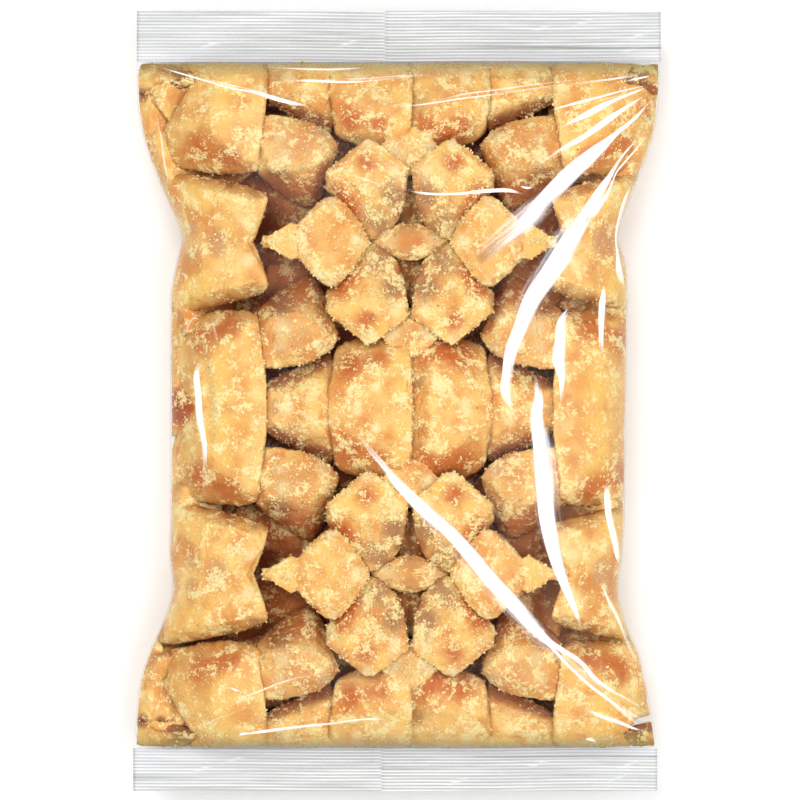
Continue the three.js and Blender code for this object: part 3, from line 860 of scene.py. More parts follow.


# Folds pulled into the film, as lists of places with the fold's width and how white its painted highlight is
# there
FOLDS = [
    [(83, 98.5, 0.4, 0.8), (78, 92.5, 1, 1), (70, 85.5, 2, 1), (65, 81, 4.2, 1), (57.5, 74.5, 6, 1),
     (50.5, 67.5, 6, 1), (46, 63, 5.4, 1), (42.5, 58.5, 4.8, 0.9), (37, 53.5, 4.2, 0.6),
     (31.5, 49, 3.6, 0.35), (26, 45, 2.8, 0.1)],
    [(81, 99.5, 0.4, 0.8), (75, 95.5, 1.2, 1), (66.5, 89.5, 2.2, 1), (60, 85, 2, 1), (54, 81.5, 2, 0.7),
     (49, 78, 1.6, 0.4), (43.5, 74, 1.2, 0.1)],
    [(81.5, 102, 0.4, 0.7), (77, 100, 0.8, 1), (70, 97, 1.2, 1), (66, 95, 2.2, 1), (61.5, 92.5, 2.2, 1),
     (56.5, 90, 1.4, 0.7), (52, 87.5, 1, 0.2)],
    [(81.5, 102.5, 0.4, 0.7), (73.5, 100.5, 0.6, 0.8), (66.5, 98.5, 0.8, 0.8), (59.5, 96.5, 1, 1),
     (54, 95, 0.6, 0.9), (49.5, 93.5, 0.4, 0.4)],
    [(80.5, 101, 0.4, 0.5), (73.5, 99, 0.4, 0.7), (67.5, 97.5, 0.4, 0.5), (62, 96, 0.4, 0.3)],
    [(80.5, 106, 0.4, 0.6), (74.5, 105, 0.8, 0.9), (68.5, 104, 0.8, 0.7), (61.5, 103, 1.2, 0.5),
     (54, 102, 1, 0.35), (46.5, 101, 0.8, 0.6), (33, 99, 0.6, 0.7), (18.5, 97, 0.6, 0.7),
     (9, 95.5, 0.6, 0.7), (3.5, 95, 0.4, 0.5), (-3, 95.5, 0.4, 0.2)],
    [(65, 104.5, 0.4, 0.2), (54, 103.5, 0.6, 0.4), (46.5, 102.5, 0.6, 0.6), (33, 100.5, 0.6, 0.7),
     (20, 98.5, 0.6, 0.7), (10.5, 96, 0.4, 0.6), (5, 94.5, 0.4, 0.5)],
    [(82, 105.5, 0.4, 1), (78, 104.5, 0.8, 1), (74, 103.5, 0.4, 0.5)],
    [(81, 88.5, 0.4, 0.7), (77, 84, 0.8, 0.9), (72, 78, 1, 0.9), (69, 73, 1.8, 1), (65.5, 67.5, 3.2, 1),
     (60.5, 59, 4.8, 1), (56, 51.5, 6.8, 1), (53.5, 47, 7.4, 1), (49, 40.5, 7, 1), (43.5, 32.5, 6.4, 1),
     (40, 24, 5.2, 1), (36.5, 15, 4.4, 1), (35.5, 8.5, 3.8, 1), (35, 2.5, 3.4, 1), (36.5, -1.5, 1.6, 0.9),
     (39.5, -5, 0.6, 0.3)],
    [(80.5, 85.5, 0.4, 0.7), (77, 81, 0.6, 0.9), (73.5, 77, 0.6, 0.9), (71, 74, 0.6, 0.8),
     (69.5, 70.5, 0.6, 0.8), (68, 67, 1.2, 0.9), (65, 63, 2.6, 1), (62, 58.5, 2.8, 1)],
    [(76, 70.5, 0.4, 0.5), (74, 65.5, 1.2, 1), (72, 58.5, 1.2, 1), (71, 53, 0.8, 1), (71.5, 48, 1.2, 1),
     (72, 42.5, 2.4, 1), (73, 39, 1.6, 1), (74, 36, 0.4, 0.5)],
    [(3, 67.5, 0.4, 0.3), (9.5, 66.5, 0.8, 0.9), (20, 66.5, 0.8, 1), (30, 67.5, 1.4, 1),
     (36.5, 67.5, 1.2, 1), (40.5, 66.5, 0.4, 0.5)],
    [(39.5, 69, 0.4, 0.5), (41.5, 68.5, 0.8, 1), (43.5, 68.5, 0.4, 0.6)],
    [(50, 66, 7, 0.3), (44, 60.5, 9, 0.55), (38.5, 55.5, 9, 0.55), (32, 50, 8, 0.4), (26, 45, 6, 0.2)],
    [(60, 61, 5, 0.3), (55, 52.5, 9, 0.5), (49.5, 43, 9.5, 0.5), (44, 34, 9, 0.4), (40, 24, 8, 0.2)],
    [(46.5, -8, 8, 0.3), (48, -22, 9.5, 0.45), (49.5, -40, 9, 0.4), (53, -54, 6, 0.2)],
    [(4, -30, 6, 0.3), (17, -43, 7.5, 0.4), (31, -59, 8, 0.45), (44, -73, 7, 0.4), (56, -84, 5, 0.3)],
    [(-27, 77.5, 0.4, 0.15), (-16.5, 73.5, 0.6, 0.35), (-5.5, 69.5, 0.6, 0.4), (3, 67.5, 0.4, 0.4)],
    [(-18.5, -2.5, 1, 0.12), (-11.5, -12, 1.6, 0.3), (-4, -21, 2.6, 0.7), (1.5, -27.5, 3.6, 0.95),
     (9, -35, 4.4, 1), (16.5, -41.5, 4.4, 1), (23, -48.5, 4.8, 1), (30, -57, 5.2, 1), (37.5, -65, 5.2, 1),
     (44.5, -73, 4.4, 1), (49, -77.5, 2.6, 1), (53, -80, 2, 1), (59, -84, 1.8, 1), (64.5, -90, 1.4, 1),
     (68.5, -93, 1, 0.95), (76, -97.5, 0.8, 1), (81.5, -101.5, 0.4, 0.8)],
    [(43.5, -73, 1, 0.9), (49.5, -79, 1, 1), (57, -87, 0.8, 1), (62.5, -92, 1, 0.95), (68.5, -96.5, 1, 0.9),
     (76, -103, 1.2, 0.9), (81, -106.5, 0.6, 0.7)],
    [(48, -76.5, 1.6, 0.2), (53, -82, 2.8, 0.4), (60.5, -88.5, 3.6, 0.4), (66.5, -94, 2.8, 0.35),
     (74.5, -100.5, 1.6, 0.5), (81, -104, 1, 0.6)],
    [(44.5, 8, 0.8, 0.8), (45.5, 0.5, 3.6, 1), (45, -4.5, 4.4, 1), (46.5, -14.5, 6, 1), (47.5, -26, 6.4, 1),
     (48.5, -37, 6.2, 1), (50.5, -48, 5, 1), (54, -59, 3.4, 1), (57.5, -67.5, 2, 0.9),
     (60, -74.5, 0.4, 0.3)],
    [(55.5, 30, 0.6, 0.8), (53.5, 27, 2.6, 1), (52.5, 18.5, 4.2, 1), (52, 13.5, 4.8, 1), (53, 8.5, 2.8, 1),
     (53, 3, 1.4, 0.7), (53, -2, 0.8, 0.15)],
    [(67, 37.5, 0.4, 0.8), (66.5, 33, 2.2, 1), (66, 23.5, 2, 1), (66, 18.5, 1.6, 0.8), (66, 14.5, 1, 0.2)],
    [(63, 46, 1, 0.1), (65, 42, 1.6, 0.25), (66.5, 38, 1, 0.3)],
    [(67.5, -26.5, 0.4, 0.9), (68, -31, 2.4, 1), (68.5, -37, 2.6, 1), (70.5, -45, 2.6, 1),
     (71.5, -50.5, 1.6, 1), (72, -53, 0.4, 0.6)],
    [(66, -59, 0.4, 0.9), (69, -65.5, 1.4, 1), (71.5, -70, 1.4, 0.9), (74.5, -77.5, 1.2, 0.55),
     (76.5, -82.5, 0.8, 0.5), (78, -87, 0.6, 0.15)],
    [(52.5, -97.5, 2, 0.12), (62, -100, 1.6, 0.5), (66.5, -102, 1.4, 0.9), (72, -104, 1.4, 1),
     (76.5, -106, 0.8, 1), (79.5, -107, 0.4, 0.9)],
    [(26.5, -99.5, 0.8, 0.3), (37, -100, 1.2, 0.35), (47.5, -100.5, 1, 0.35), (57, -102, 0.8, 0.3),
     (65, -103.5, 0.6, 0.25)],
    [(45.5, -87, 0.4, 0.2), (50.5, -90, 0.6, 0.3), (55.5, -92.5, 0.6, 0.3), (62, -96, 0.4, 0.2)],
    [(61, -109.5, 0.6, 0.9), (62.5, -109.5, 1.4, 1), (64.5, -110.5, 0.6, 0.8)],
    [(-77.5, 108.5, 0.4, 0.5), (-69.5, 106, 0.6, 0.8), (-61.5, 103.5, 0.6, 0.85), (-53.5, 101, 0.6, 0.9),
     (-45.5, 99.5, 1, 0.9), (-39, 97.5, 1.6, 1), (-33.5, 96, 1.2, 1), (-28.5, 95, 0.4, 0.6)],
    [(-61.5, 104, 0.4, 0.5), (-53.5, 102, 0.4, 0.8), (-47, 100.5, 0.4, 0.8), (-41.5, 99, 0.6, 0.9)],
    [(-35.5, 103.5, 0.4, 0.6), (-29.5, 103.5, 0.8, 0.9), (-15, 103, 0.8, 0.85), (1, 104.5, 0.8, 0.7),
     (14, 105, 0.6, 0.5), (29.5, 106, 0.4, 0.3)],
    [(-21.5, 104, 0.4, 0.4), (-12, 104, 0.6, 0.7), (1, 105, 0.6, 0.6), (10.5, 105.5, 0.4, 0.3)],
    [(-46, 108, 0.4, 0.4), (-37.5, 108, 0.6, 0.8), (-28.5, 107.5, 0.8, 0.9), (-18.5, 107.5, 0.8, 1),
     (-10, 108, 0.4, 0.5)],
    [(24.5, 108, 0.4, 0.4), (28.5, 108, 0.8, 0.7), (33, 108.5, 0.4, 0.4)],
    [(-78.5, 93, 0.4, 0.3), (-76.5, 86.5, 0.6, 0.6), (-75.5, 79, 0.8, 0.6), (-74, 70, 0.6, 0.5),
     (-73.5, 63, 0.4, 0.2)],
    [(-80, 91, 0.4, 0.2), (-78, 83.5, 0.4, 0.4), (-76.5, 75.5, 0.4, 0.3)],
    [(-63.5, 13, 0.4, 0.7), (-64.5, 9.5, 2, 0.9), (-64, 2, 2.4, 1), (-63.5, -6, 2.6, 1), (-62, -14.5, 2, 1),
     (-62, -22, 1.6, 0.5), (-62, -30, 1.4, 0.3), (-62, -36.5, 1, 0.08)],
    [(-68.5, 21, 0.4, 0.4), (-67, 25.5, 1, 0.5), (-64.5, 28, 0.6, 0.4)],
    [(-59.5, 26.5, 0.6, 0.4), (-58.5, 22, 1.2, 0.35), (-57.5, 18, 0.6, 0.2)],
    [(-54, -92, 0.4, 0.4), (-52, -93, 1, 0.8), (-50.5, -93.5, 0.4, 0.5)],
    [(-51.5, -96, 0.4, 0.3), (-44.5, -93.5, 0.6, 0.6), (-37, -90.5, 0.8, 0.6), (-27, -88, 0.6, 0.5),
     (-19, -87, 0.4, 0.2)],
    [(-69, -107, 0.4, 0.3), (-56.5, -102, 0.6, 0.4), (-44, -97, 0.4, 0.2)],
    [(-53, -108, 0.4, 0.5), (-45, -107, 1, 1), (-34.5, -105.5, 1, 0.9), (-21.5, -104, 0.8, 0.8),
     (-7, -102.5, 0.6, 0.7), (-1.5, -103, 0.4, 0.3)],
    [(-51, -108, 0.6, 0.9), (-49.5, -107.5, 1, 1), (-48, -107.5, 0.6, 0.7)],
]
# How white a fold's painted highlight is from its one side to its other
FOLD_PROFILE = [(-1, 0), (-0.9, 0.55), (-0.76, 0.95), (-0.5, 1), (0.22, 1), (0.42, 0.95), (0.6, 0.8),
                (0.8, 0.35), (1, 0)]
FOLD_STEP = 1.2
FOLD_COLUMNS = 21
FOLD_LIFT = 0.1             # a fold's sides stand this high over the film
FOLD_HEIGHT_SHARE = 0.16    # and its middle rises by this share of its half width
FOLD_THICKNESS = 0.05
FINEST_FOLD = 0.3
STRAND_LENGTH = 14.0        # size of the streaks along and across a fold
STRAND_WIDTH = 0.55
END_SHARE_OF_FOLD = 0.12    # a fold fades in and out over this share of its length


def fold_route(points):
    """The fold's places a step apart, on a smooth curve: x, y, width and whiteness."""
    points = np.array(points, float)
    along = np.concatenate([[0], np.cumsum(np.hypot(*np.diff(points[:, :2], axis=0).T))])
    wanted = np.linspace(0, along[-1], max(5, int(along[-1] / FOLD_STEP)))
    return np.column_stack([chord_curve(along, points[:, k], wanted) for k in range(4)])


def chord_curve(stations, values, wanted):
    """A smooth curve through unevenly spaced values, by way of their slopes."""
    slopes = np.gradient(values, stations)
    i = np.clip(np.searchsorted(stations, wanted, side="right") - 1, 0, len(stations) - 2)
    step = stations[i + 1] - stations[i]
    t = np.clip((wanted - stations[i]) / step, 0, 1)
    return eased(t, values[i], values[i + 1], step * slopes[i], step * slopes[i + 1])


def fold_glow(route, half, offsets, seed):
    """How white a fold's painted highlight is at each vertex: streaky, and fading to both ends and sides."""
    steps = np.arange(len(route))
    along = np.repeat(steps[:, None] * FOLD_STEP / STRAND_LENGTH, len(offsets), axis=1)
    across = half * offsets / STRAND_WIDTH
    streak = soft_noise([along, across, np.full(across.shape, seed)])
    ends = smooth_step(np.minimum(steps, steps[::-1]), -0.5, END_SHARE_OF_FOLD * len(route))
    level = (np.clip(route[:, 3], 0, 1) ** 1.3 * (0.25 + 0.75 * ends))[:, None]
    strand = np.clip(0.6 + 0.25 * level + 1.7 * streak, 0, 1)
    shine = np.interp(offsets, *np.array(FOLD_PROFILE).T)
    glow = level * shine * (1 - (0.95 - 0.45 * level) * (1 - strand))
    return np.clip(glow, 0, 1) ** 1.7


def film_folds(film, material):
    """Creased strips of the film that stand up a little from it, with a white painted highlight on them."""
    bm = bmesh.new()
    white = bm.verts.layers.float_color.new("white")
    offsets = np.linspace(-1, 1, FOLD_COLUMNS)
    for points in FOLDS:
        route = fold_route(points)
        forward = np.gradient(route[:, :2], axis=0)
        forward /= np.linalg.norm(forward, axis=1)[:, None]
        half = np.maximum(route[:, 2:3], FINEST_FOLD) / 2
        x = route[:, 0:1] - forward[:, 1:2] * half * offsets
        y = route[:, 1:2] + forward[:, 0:1] * half * offsets
        y = np.clip(y, BOTTOM_JOIN + 0.4, TOP_JOIN - 0.4)
        x = np.clip(x, left_edge(y) + 0.15, right_edge(y) - 0.15)
        ridge = FOLD_HEIGHT_SHARE * half * (1 - offsets**2)
        made = add_sheet(bm, x, y, film_height(*film, x, y) + FOLD_LIFT + ridge)
        for vertex, shown in zip(made, fold_glow(route, half, offsets, points[0][0]).ravel()):
            vertex[white] = (shown, shown, shown, 1)
    bmesh.ops.solidify(bm, geom=bm.faces, thickness=FOLD_THICKNESS)
    piece = add_piece("film_folds", bm, material)
    piece.visible_shadow = False
    return piece


def film_height(film_x, film_y, film_z, x, y):
    """The film's height at any places, read between its own vertices."""
    rows = film_y[:, 0]
    j = np.clip(np.searchsorted(rows, y) - 1, 0, len(rows) - 2)
    t = np.clip((y - rows[j]) / (rows[j + 1] - rows[j]), 0, 1)
    share = (x - (left_edge(y) + right_edge(y)) / 2) / ((right_edge(y) - left_edge(y)) / 2)
    across = even_stations(film_x.shape[1], lambda s: ROOF_SHARE * side_profile(np.abs(s)))
    i = np.clip(np.searchsorted(across, share) - 1, 0, len(across) - 2)
    s = np.clip((share - across[i]) / (across[i + 1] - across[i]), 0, 1)
    near = film_z[j, i] * (1 - s) + film_z[j, i + 1] * s
    far = film_z[j + 1, i] * (1 - s) + film_z[j + 1, i + 1] * s
    return near * (1 - t) + far * t


# ---------------------------------------------------------------- the seals

SEAL_HALF_THICKNESS = 0.2
CRIMP_RISE = 0.13
ROWS_PER_CRIMP = 8
SEAL_COLUMNS = 150
LAP_X = -4.2                # where the film's lap crosses the seals
LAP_HALF_WIDTH = 0.3
LAP_SHIFT = 0.42            # the ridges step by this much at the lap
LINE_HALF_WIDTH = 0.3       # the darker line that fades in along the right half of each seal
WRINKLE_LENGTH = 2.6
WRINKLE_WIDTH = 0.45
WRINKLE_SLANT = 0.35

# Each seal's name, node, middle, depth, darker line along the pack, and its small diagonal wrinkles: across,
# and along from the seal's middle
SEALS = [
    ("top_crimped_seal", "top_end_seal", (SEAL_SHIFT, PACK_LENGTH / 2 - TOP_SEAL_DEPTH / 2), TOP_SEAL_DEPTH,
     115.0, [(-61.6, -2.9), (-16.7, -2.3), (46.8, 2.9), (77.9, 0.3), (76, -4), (60, 4.5)]),
    ("bottom_crimped_seal", "bottom_end_seal", (-SEAL_SHIFT, -PACK_LENGTH / 2 + BOTTOM_SEAL_DEPTH / 2),
     BOTTOM_SEAL_DEPTH, -115.9, [(-63.2, 0.1), (-52, 3.5), (45.9, 1.7), (76.3, 1.7), (72, -3), (20, -4)]),
]


def wrinkled(x, y, wrinkles):
    """1 along the middle of each wrinkle, fading round it."""
    crumple = np.zeros(x.shape)
    for across, along in wrinkles:
        slanted = y - along - WRINKLE_SLANT * (x - across)
        crumple += np.exp(-((x - across) / WRINKLE_LENGTH) ** 2 - (slanted / WRINKLE_WIDTH) ** 2)
    return crumple


def end_seal(name, node, middle, depth, dark_line, wrinkles, seed, material):
    """A crimped strip: fine ridges that bend a little, step at the lap and crumple in places."""
    rows = int(depth / CRIMP_PITCH * ROWS_PER_CRIMP) + 1
    x = np.repeat(np.linspace(-1, 1, SEAL_COLUMNS)[None, :] * SEAL_WIDTH / 2, rows, axis=0)
    y = np.repeat(np.linspace(-1, 1, rows)[:, None] * depth / 2, SEAL_COLUMNS, axis=1)
    past_lap = smooth_step(x, LAP_X - LAP_HALF_WIDTH, LAP_X + LAP_HALF_WIDTH)
    bend = 0.2 * np.sin(x / 23 + seed) + 0.08 * np.sin(x / 9 + 2 * seed) + LAP_SHIFT * past_lap
    crumple = wrinkled(x, y, wrinkles)
    streak = soft_noise([x / 34, y / 0.9, np.full(x.shape, seed * 3.1)])
    wave = np.cos(2 * math.pi * (y + bend + 0.3 * crumple) / CRIMP_PITCH)
    strength = np.clip(0.85 + 0.9 * streak - 0.4 * np.abs(x / SEAL_WIDTH), 0.25, 1.2) * (1 - 0.6 * crumple)
    line = np.exp(-((y + middle[1] - dark_line - 0.2 * bend) / LINE_HALF_WIDTH) ** 2) * smooth_step(x, 15, 45)
    lap = np.exp(-((x - LAP_X) / LAP_HALF_WIDTH) ** 2)
    # Painted shade in the crimps' grooves and painted highlight on their ridges, with streaks, the darker
    # line, a darker lap and paler wrinkles
    tone = 0.5 + 0.36 * wave * strength + 0.3 * streak - 0.75 * line - 0.2 * lap + 0.2 * crumple
    inward = -middle[1] / abs(middle[1]) * y
    join = smooth_step(inward, depth / 2 - 5.5, depth / 2 - 0.5)
    z = SEAL_LIFT + seal_wave(x) + CRIMP_RISE * wave * strength + 0.2 * crumple + SEAL_HALF_THICKNESS
    bm = bmesh.new()
    crimp = bm.verts.layers.float_color.new("crimp")
    made = add_sheet(bm, x + middle[0], y + middle[1], z)
    for vertex, level, near in zip(made, tone.ravel(), join.ravel()):
        vertex[crimp] = (level, near, 0, 1)
    bmesh.ops.solidify(bm, geom=bm.faces, thickness=2 * SEAL_HALF_THICKNESS)
    return add_piece(name, bm, material, [node])


def seals(material):
    for seed, seal in enumerate(SEALS, 1):
        end_seal(*seal, seed, material)


# ---------------------------------------------------------------- materials

# The sugar's colours, and the painted shade of its gaps and pits
TOFFEE = linear(226, 146, 68)
GOLD = linear(243, 180, 94)
STRAW = linear(252, 208, 124)
FUDGE = linear(222, 146, 72)
BUTTER = linear(254, 212, 126)
BURNT = linear(218, 132, 56)
CRUMBLED_EDGE = linear(255, 220, 140)
GRIT = linear(196, 124, 56)
PAINTED_GAP_SHADE = linear(148, 72, 30)
FROST = linear(255, 228, 144)
CRYSTAL = linear(255, 240, 178)
PAINTED_PIT_SHADE = linear(92, 54, 28)
BY_THE_SEALS = linear(170, 150, 80)
MOLASSES = linear(90, 50, 20)
# The seals' colours, from painted shade in their grooves to painted highlight on their ridges, and beside the
# pack
CRIMP_PAINTED_SHADING = [(0.0, linear(138, 140, 140)), (0.5, linear(194, 196, 196)), (1.0, linear(232, 233, 233))]
BLUISH = linear(214, 214, 228)
PAINTED_HIGHLIGHT_WHITE = (0.97, 0.97, 0.97, 1)
PALE_GREY = (0.95, 0.95, 0.95, 1)
WHITE = (1, 1, 1, 1)


def new_material(name):
    material = bpy.data.materials.new(name)
    material.use_nodes = True
    tree = material.node_tree
    tree.nodes.clear()
    output = tree.nodes.new("ShaderNodeOutputMaterial")
    return material, tree, output


def feed(tree, socket, value):
    """Sets a socket to a number or colour, or links another socket to it."""
    if isinstance(value, bpy.types.NodeSocket):
        tree.links.new(value, socket)
    else:
        socket.default_value = value


def add_node(tree, kind, inputs=None, **settings):
    """A new node with its settings, and its inputs set or linked by name."""
    node = tree.nodes.new(kind)
    for name, value in settings.items():
        setattr(node, name, value)
    for name, value in (inputs or {}).items():
        feed(tree, node.inputs[name], value)
    return node


def object_place(tree):
    return add_node(tree, "ShaderNodeTexCoord").outputs["Object"]


def ramp(tree, source, stops):
    """A colour ramp fed by a socket, with stops of (place, colour)."""
    node = add_node(tree, "ShaderNodeValToRGB", {"Fac": source})
    elements = node.color_ramp.elements
    while len(elements) < len(stops):
        elements.new(0.5)
    for element, (place, colour) in zip(elements, stops):
        element.position = place
        element.color = colour if len(colour) == 4 else (*colour, 1)
    return node.outputs["Color"]


def mask(tree, source, low, high):
    """0 below low, 1 above high; the other way round if low is the larger."""
    if low < high:
        return ramp(tree, source, [(low, (0, 0, 0)), (high, (1, 1, 1))])
    return ramp(tree, source, [(high, (1, 1, 1)), (low, (0, 0, 0))])


def mix(tree, factor, first, second):
    node = add_node(tree, "ShaderNodeMix", data_type="RGBA", clamp_factor=True)
    for place, value in ((0, factor), (6, first), (7, second)):
        feed(tree, node.inputs[place], value)
    return node.outputs[2]


def maths(tree, operation, first, second=0.0):
    node = add_node(tree, "ShaderNodeMath", operation=operation)
    feed(tree, node.inputs[0], first)
    feed(tree, node.inputs[1], second)
    return node.outputs[0]


def times(tree, first, second):
    return maths(tree, "MULTIPLY", first, second)


def plus(tree, first, second):
    return maths(tree, "ADD", first, second)


def one_less(tree, value):
    return maths(tree, "SUBTRACT", 1.0, value)


def noise_node(tree, place, size, detail=4.0, roughness=0.55, distortion=0.0):
    """Soft noise with features of a size in millimetres."""
    return add_node(tree, "ShaderNodeTexNoise", {
        "Vector": place, "Scale": 1 / (size * MM), "Detail": detail, "Roughness": roughness,
        "Distortion": distortion}).outputs["Fac"]


def cells_node(tree, place, size):
    """The distance to the nearest of points about a size in millimetres apart."""
    cells = add_node(tree, "ShaderNodeTexVoronoi", {"Vector": place, "Scale": 1 / (size * MM)})
    return cells.outputs["Distance"]


def attribute(tree, name):
    """The channels of a vertex colour: red, green, blue and alpha sockets, and the whole colour."""
    node = add_node(tree, "ShaderNodeAttribute", attribute_name=name)
    parts = add_node(tree, "ShaderNodeSeparateColor", {"Color": node.outputs["Color"]})
    return (*parts.outputs, node.outputs["Alpha"], node.outputs["Color"])


def bump(tree, height, distance):
    """A normal roughened by a height, with a depth in millimetres."""
    return add_node(tree, "ShaderNodeBump", {
        "Strength": 1.0, "Distance": distance * MM, "Height": height}).outputs["Normal"]


def facing(tree):
    """0 where a surface is seen square on, 1 at grazing."""
    return add_node(tree, "ShaderNodeLayerWeight", {"Blend": 0.5}).outputs["Facing"]


def shown_through(tree, output, share, shader):
    """Shows a shader by a share of 0 to 1, and what lies behind for the rest."""
    clear = add_node(tree, "ShaderNodeBsdfTransparent")
    blend = add_node(tree, "ShaderNodeMixShader")
    for socket, value in zip(blend.inputs, (share, clear.outputs[0], shader.outputs[0])):
        feed(tree, socket, value)
    tree.links.new(blend.outputs[0], output.inputs["Surface"])


def jaggery_material():
    """Set cane sugar: waxy amber, opaque pale patches, glittering grit, crumbly pale edges, small pits, with
    painted shade in the gaps, on steep faces and in the pits.
    """
    material, tree, output = new_material("jaggery")
    place = object_place(tree)
    painted_shade, crease, tone, seal, _ = attribute(tree, "grain_and_shade")
    _, _, _, tint_strength, tint_colour = attribute(tree, "tint")

    broad = noise_node(tree, place, 9, 1)
    patches = noise_node(tree, place, 4.2, 4, 0.58, 0.5)
    cluster = noise_node(tree, place, 5.5, 2)
    flakes = noise_node(tree, place, 1.5, 4, 0.62, 0.4)
    grit = noise_node(tree, place, 0.7, 2, 0.6)
    specks = cells_node(tree, place, 8)

    def cover(colour, share, other):
        return mix(tree, share, colour, other)

    # Waxy body, paler or more burnt from block to block and in patches
    colour = ramp(tree, broad, [(0.34, TOFFEE), (0.48, GOLD), (0.62, STRAW)])
    colour = cover(colour, times(tree, maths(tree, "SUBTRACT", 0.6, tone), 0.6), FUDGE)
    colour = cover(colour, times(tree, tone, 0.45), BUTTER)
    colour = cover(colour, times(tree, mask(tree, patches, 0.46, 0.36), 0.3), BURNT)
    rim = times(tree, crease, mask(tree, patches, 0.36, 0.5))
    colour = cover(colour, times(tree, rim, 0.6), CRUMBLED_EDGE)

    # Stains, uneven at their rims, some of them painted shade, and dull grit
    uneven = plus(tree, tint_strength, times(tree, plus(tree, patches, -0.5), 1.4))
    colour = cover(colour, times(tree, mask(tree, uneven, 0.2, 0.7), tint_strength), tint_colour)
    colour = cover(colour, times(tree, mask(tree, grit, 0.47, 0.3), 0.18), GRIT)

    # Painted shade: darker down in the gaps and on steep faces, where the flakes are dimmer too
    painted_shade_curve = maths(tree, "POWER", painted_shade, 0.8)
    lit = one_less(tree, times(tree, painted_shade_curve, 0.66))
    colour = cover(colour, times(tree, painted_shade_curve, 0.92), PAINTED_GAP_SHADE)

    # Pale flakes in clusters, crystals among them, and a few pits with painted shade in them
    flaky = plus(tree, flakes, times(tree, plus(tree, cluster, -0.5), 1.25))
    flaky = plus(tree, flaky, times(tree, crease, 0.08))
    frost = mask(tree, flaky, 0.6, 0.645)
    colour = cover(colour, times(tree, times(tree, frost, 0.56), lit), FROST)
    crystal = plus(tree, grit, times(tree, plus(tree, flaky, -0.5), 0.7))
    sparkle = mask(tree, crystal, 0.6, 0.66)
    colour = cover(colour, times(tree, times(tree, sparkle, 0.8), lit), CRYSTAL)
    pit = mask(tree, specks, 0.045, 0.025)
    colour = cover(colour, times(tree, pit, 0.6), PAINTED_PIT_SHADE)
    colour = cover(colour, times(tree, seal, 0.85), BY_THE_SEALS)
    colour = cover(colour, 0.2, MOLASSES)

    relief = plus(tree, times(tree, grit, 0.5), times(tree, flakes, 0.7))
    relief = maths(tree, "SUBTRACT", relief, times(tree, pit, 0.5))
    # Less shine where the shade is painted
    shader = add_node(tree, "ShaderNodeBsdfPrincipled", {
        "Base Color": colour,
        "Roughness": ramp(tree, patches, [(0.38, (0.4, 0.4, 0.4)), (0.58, (0.8, 0.8, 0.8))]),
        "Specular IOR Level": maths(tree, "SUBTRACT", 0.4, times(tree, painted_shade, 0.35)),
        "Normal": bump(tree, relief, 0.55)})
    tree.links.new(shader.outputs[0], output.inputs["Surface"])
    return material


def film_material():
    """Clear glossy film: seen through, with soft reflections that grow towards grazing."""
    material, tree, output = new_material("clear_film")
    shine = plus(tree, 0.008, times(tree, maths(tree, "POWER", facing(tree), 5.0), 0.8))
    ripple = noise_node(tree, object_place(tree), 8, 2)
    gloss = add_node(tree, "ShaderNodeBsdfGlossy", {"Roughness": 0.14, "Normal": bump(tree, ripple, 0.5)})
    shown_through(tree, output, shine, gloss)
    return material


def fold_material():
    """The film's folds: a white painted highlight with a faint painted glow, fading into the clear film round
    them.
    """
    material, tree, output = new_material("painted_fold_highlight")
    white = attribute(tree, "white")[-1]
    # Painted highlight: a white surface that glows faintly, though it is no lamp
    sheen = add_node(tree, "ShaderNodeBsdfPrincipled", {
        "Base Color": PAINTED_HIGHLIGHT_WHITE, "Roughness": 0.3, "Emission Color": WHITE, "Emission Strength": 0.12})
    seen = one_less(tree, times(tree, facing(tree), 0.75))
    shown_through(tree, output, times(tree, white, seen), sheen)
    return material


def seal_material():
    """Silvery white crimped film, with painted shade in the grooves and painted highlight on the ridges, and
    a bluish cast next to the pack.
    """
    material, tree, output = new_material("crimped_film")
    tone, join, *_ = attribute(tree, "crimp")
    stretched = add_node(tree, "ShaderNodeMapping", {"Vector": object_place(tree), "Scale": (0.06, 1, 1)})
    streaks = noise_node(tree, stretched.outputs["Vector"], 1.6, 4, 0.6)
    level = plus(tree, tone, times(tree, plus(tree, streaks, -0.5), 0.5))
    colour = mix(tree, times(tree, join, 0.3), ramp(tree, level, CRIMP_PAINTED_SHADING), BLUISH)
    shader = add_node(tree, "ShaderNodeBsdfPrincipled", {"Base Color": colour, "Roughness": 0.35})
    tree.links.new(shader.outputs[0], output.inputs["Surface"])
    return material


# ---------------------------------------------------------------- floor, lights and camera

IMAGE_CENTRE = (0.98 * MM, 0.33 * MM)
FRAME_WIDTH = 260.5 * MM
OUTLINE_HEIGHT = 18 * MM    # the camera frames the pack at the height of its outline
LENS = 250.0
SENSOR = 36.0
FLOOR_SIZE = 3.0
FLOOR_DROP = 0.2 * MM
SKY = 0.31
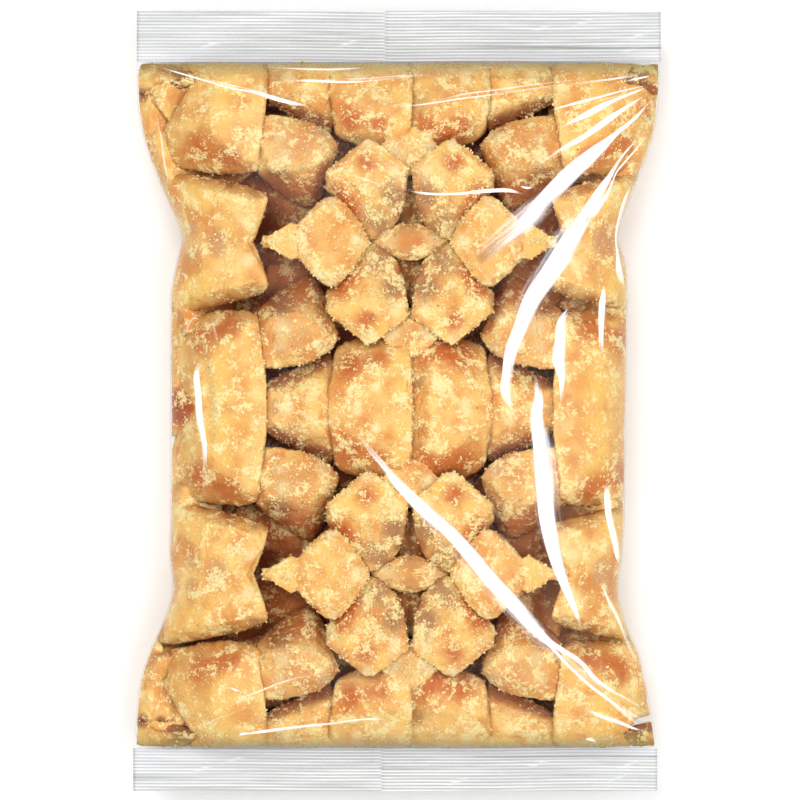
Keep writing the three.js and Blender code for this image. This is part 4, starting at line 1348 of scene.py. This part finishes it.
# Each lamp's name, place, size and power
LAMPS = [
    ("top_left", (-0.6, 0.8, 1.7), (1.4, 1.4), 28),
    ("right", (1.0, -0.1, 1.5), (0.9, 1.4), 14),
    ("near", (0.1, -1.1, 1.4), (1.4, 0.9), 12),
]


def floor():
    bm = bmesh.new()
    bmesh.ops.create_grid(bm, x_segments=1, y_segments=1, size=FLOOR_SIZE)
    mesh = mesh_from("floor", bm)
    obj = in_scene("floor", mesh)
    material, tree, output = new_material("pale_floor")
    shader = add_node(tree, "ShaderNodeBsdfPrincipled", {"Base Color": PALE_GREY, "Roughness": 0.9})
    tree.links.new(shader.outputs[0], output.inputs["Surface"])
    mesh.materials.append(material)
    obj.location.z = -FLOOR_DROP


def area_light(name, place, size, power):
    data = bpy.data.lights.new(name, "AREA")
    data.shape = "RECTANGLE"
    data.size, data.size_y = size
    data.energy = power
    lamp = in_scene(name, data)
    lamp.location = place
    lamp.rotation_euler = (-Vector(place)).to_track_quat("-Z", "Y").to_euler()


def studio():
    world = bpy.data.worlds.new("studio")
    bpy.context.scene.world = world
    world.use_nodes = True
    background = world.node_tree.nodes["Background"]
    background.inputs["Color"].default_value = WHITE
    background.inputs["Strength"].default_value = SKY
    for lamp in LAMPS:
        area_light(*lamp)
    bpy.context.scene.view_settings.view_transform = "Standard"


def camera():
    data = bpy.data.cameras.new("camera")
    data.lens = LENS
    data.sensor_width = SENSOR
    data.clip_start, data.clip_end = 0.05, 20
    obj = in_scene("camera", data)
    away = FRAME_WIDTH * LENS / SENSOR
    obj.location = (*IMAGE_CENTRE, OUTLINE_HEIGHT + away)
    bpy.context.scene.camera = obj


# ---------------------------------------------------------------- the whole scene

floor()
studio()
camera()
jaggery = jaggery_material()
clear_film = film_material()
top_layer(jaggery)
deep_blocks("lower_blocks", 24.0, 20, 8, 78, "medium", jaggery)
deep_blocks("bottom_blocks", 10.5, 18, 0, 77, "coarse", jaggery)
crumbs(jaggery)
dark_core(jaggery)
film_folds(pack_film(clear_film), fold_material())
seals(seal_material())
for slot in bpy.data.objects["back_seam"].material_slots:
    slot.material = clear_film
for mesh in BALLS.values():
    bpy.data.meshes.remove(mesh)
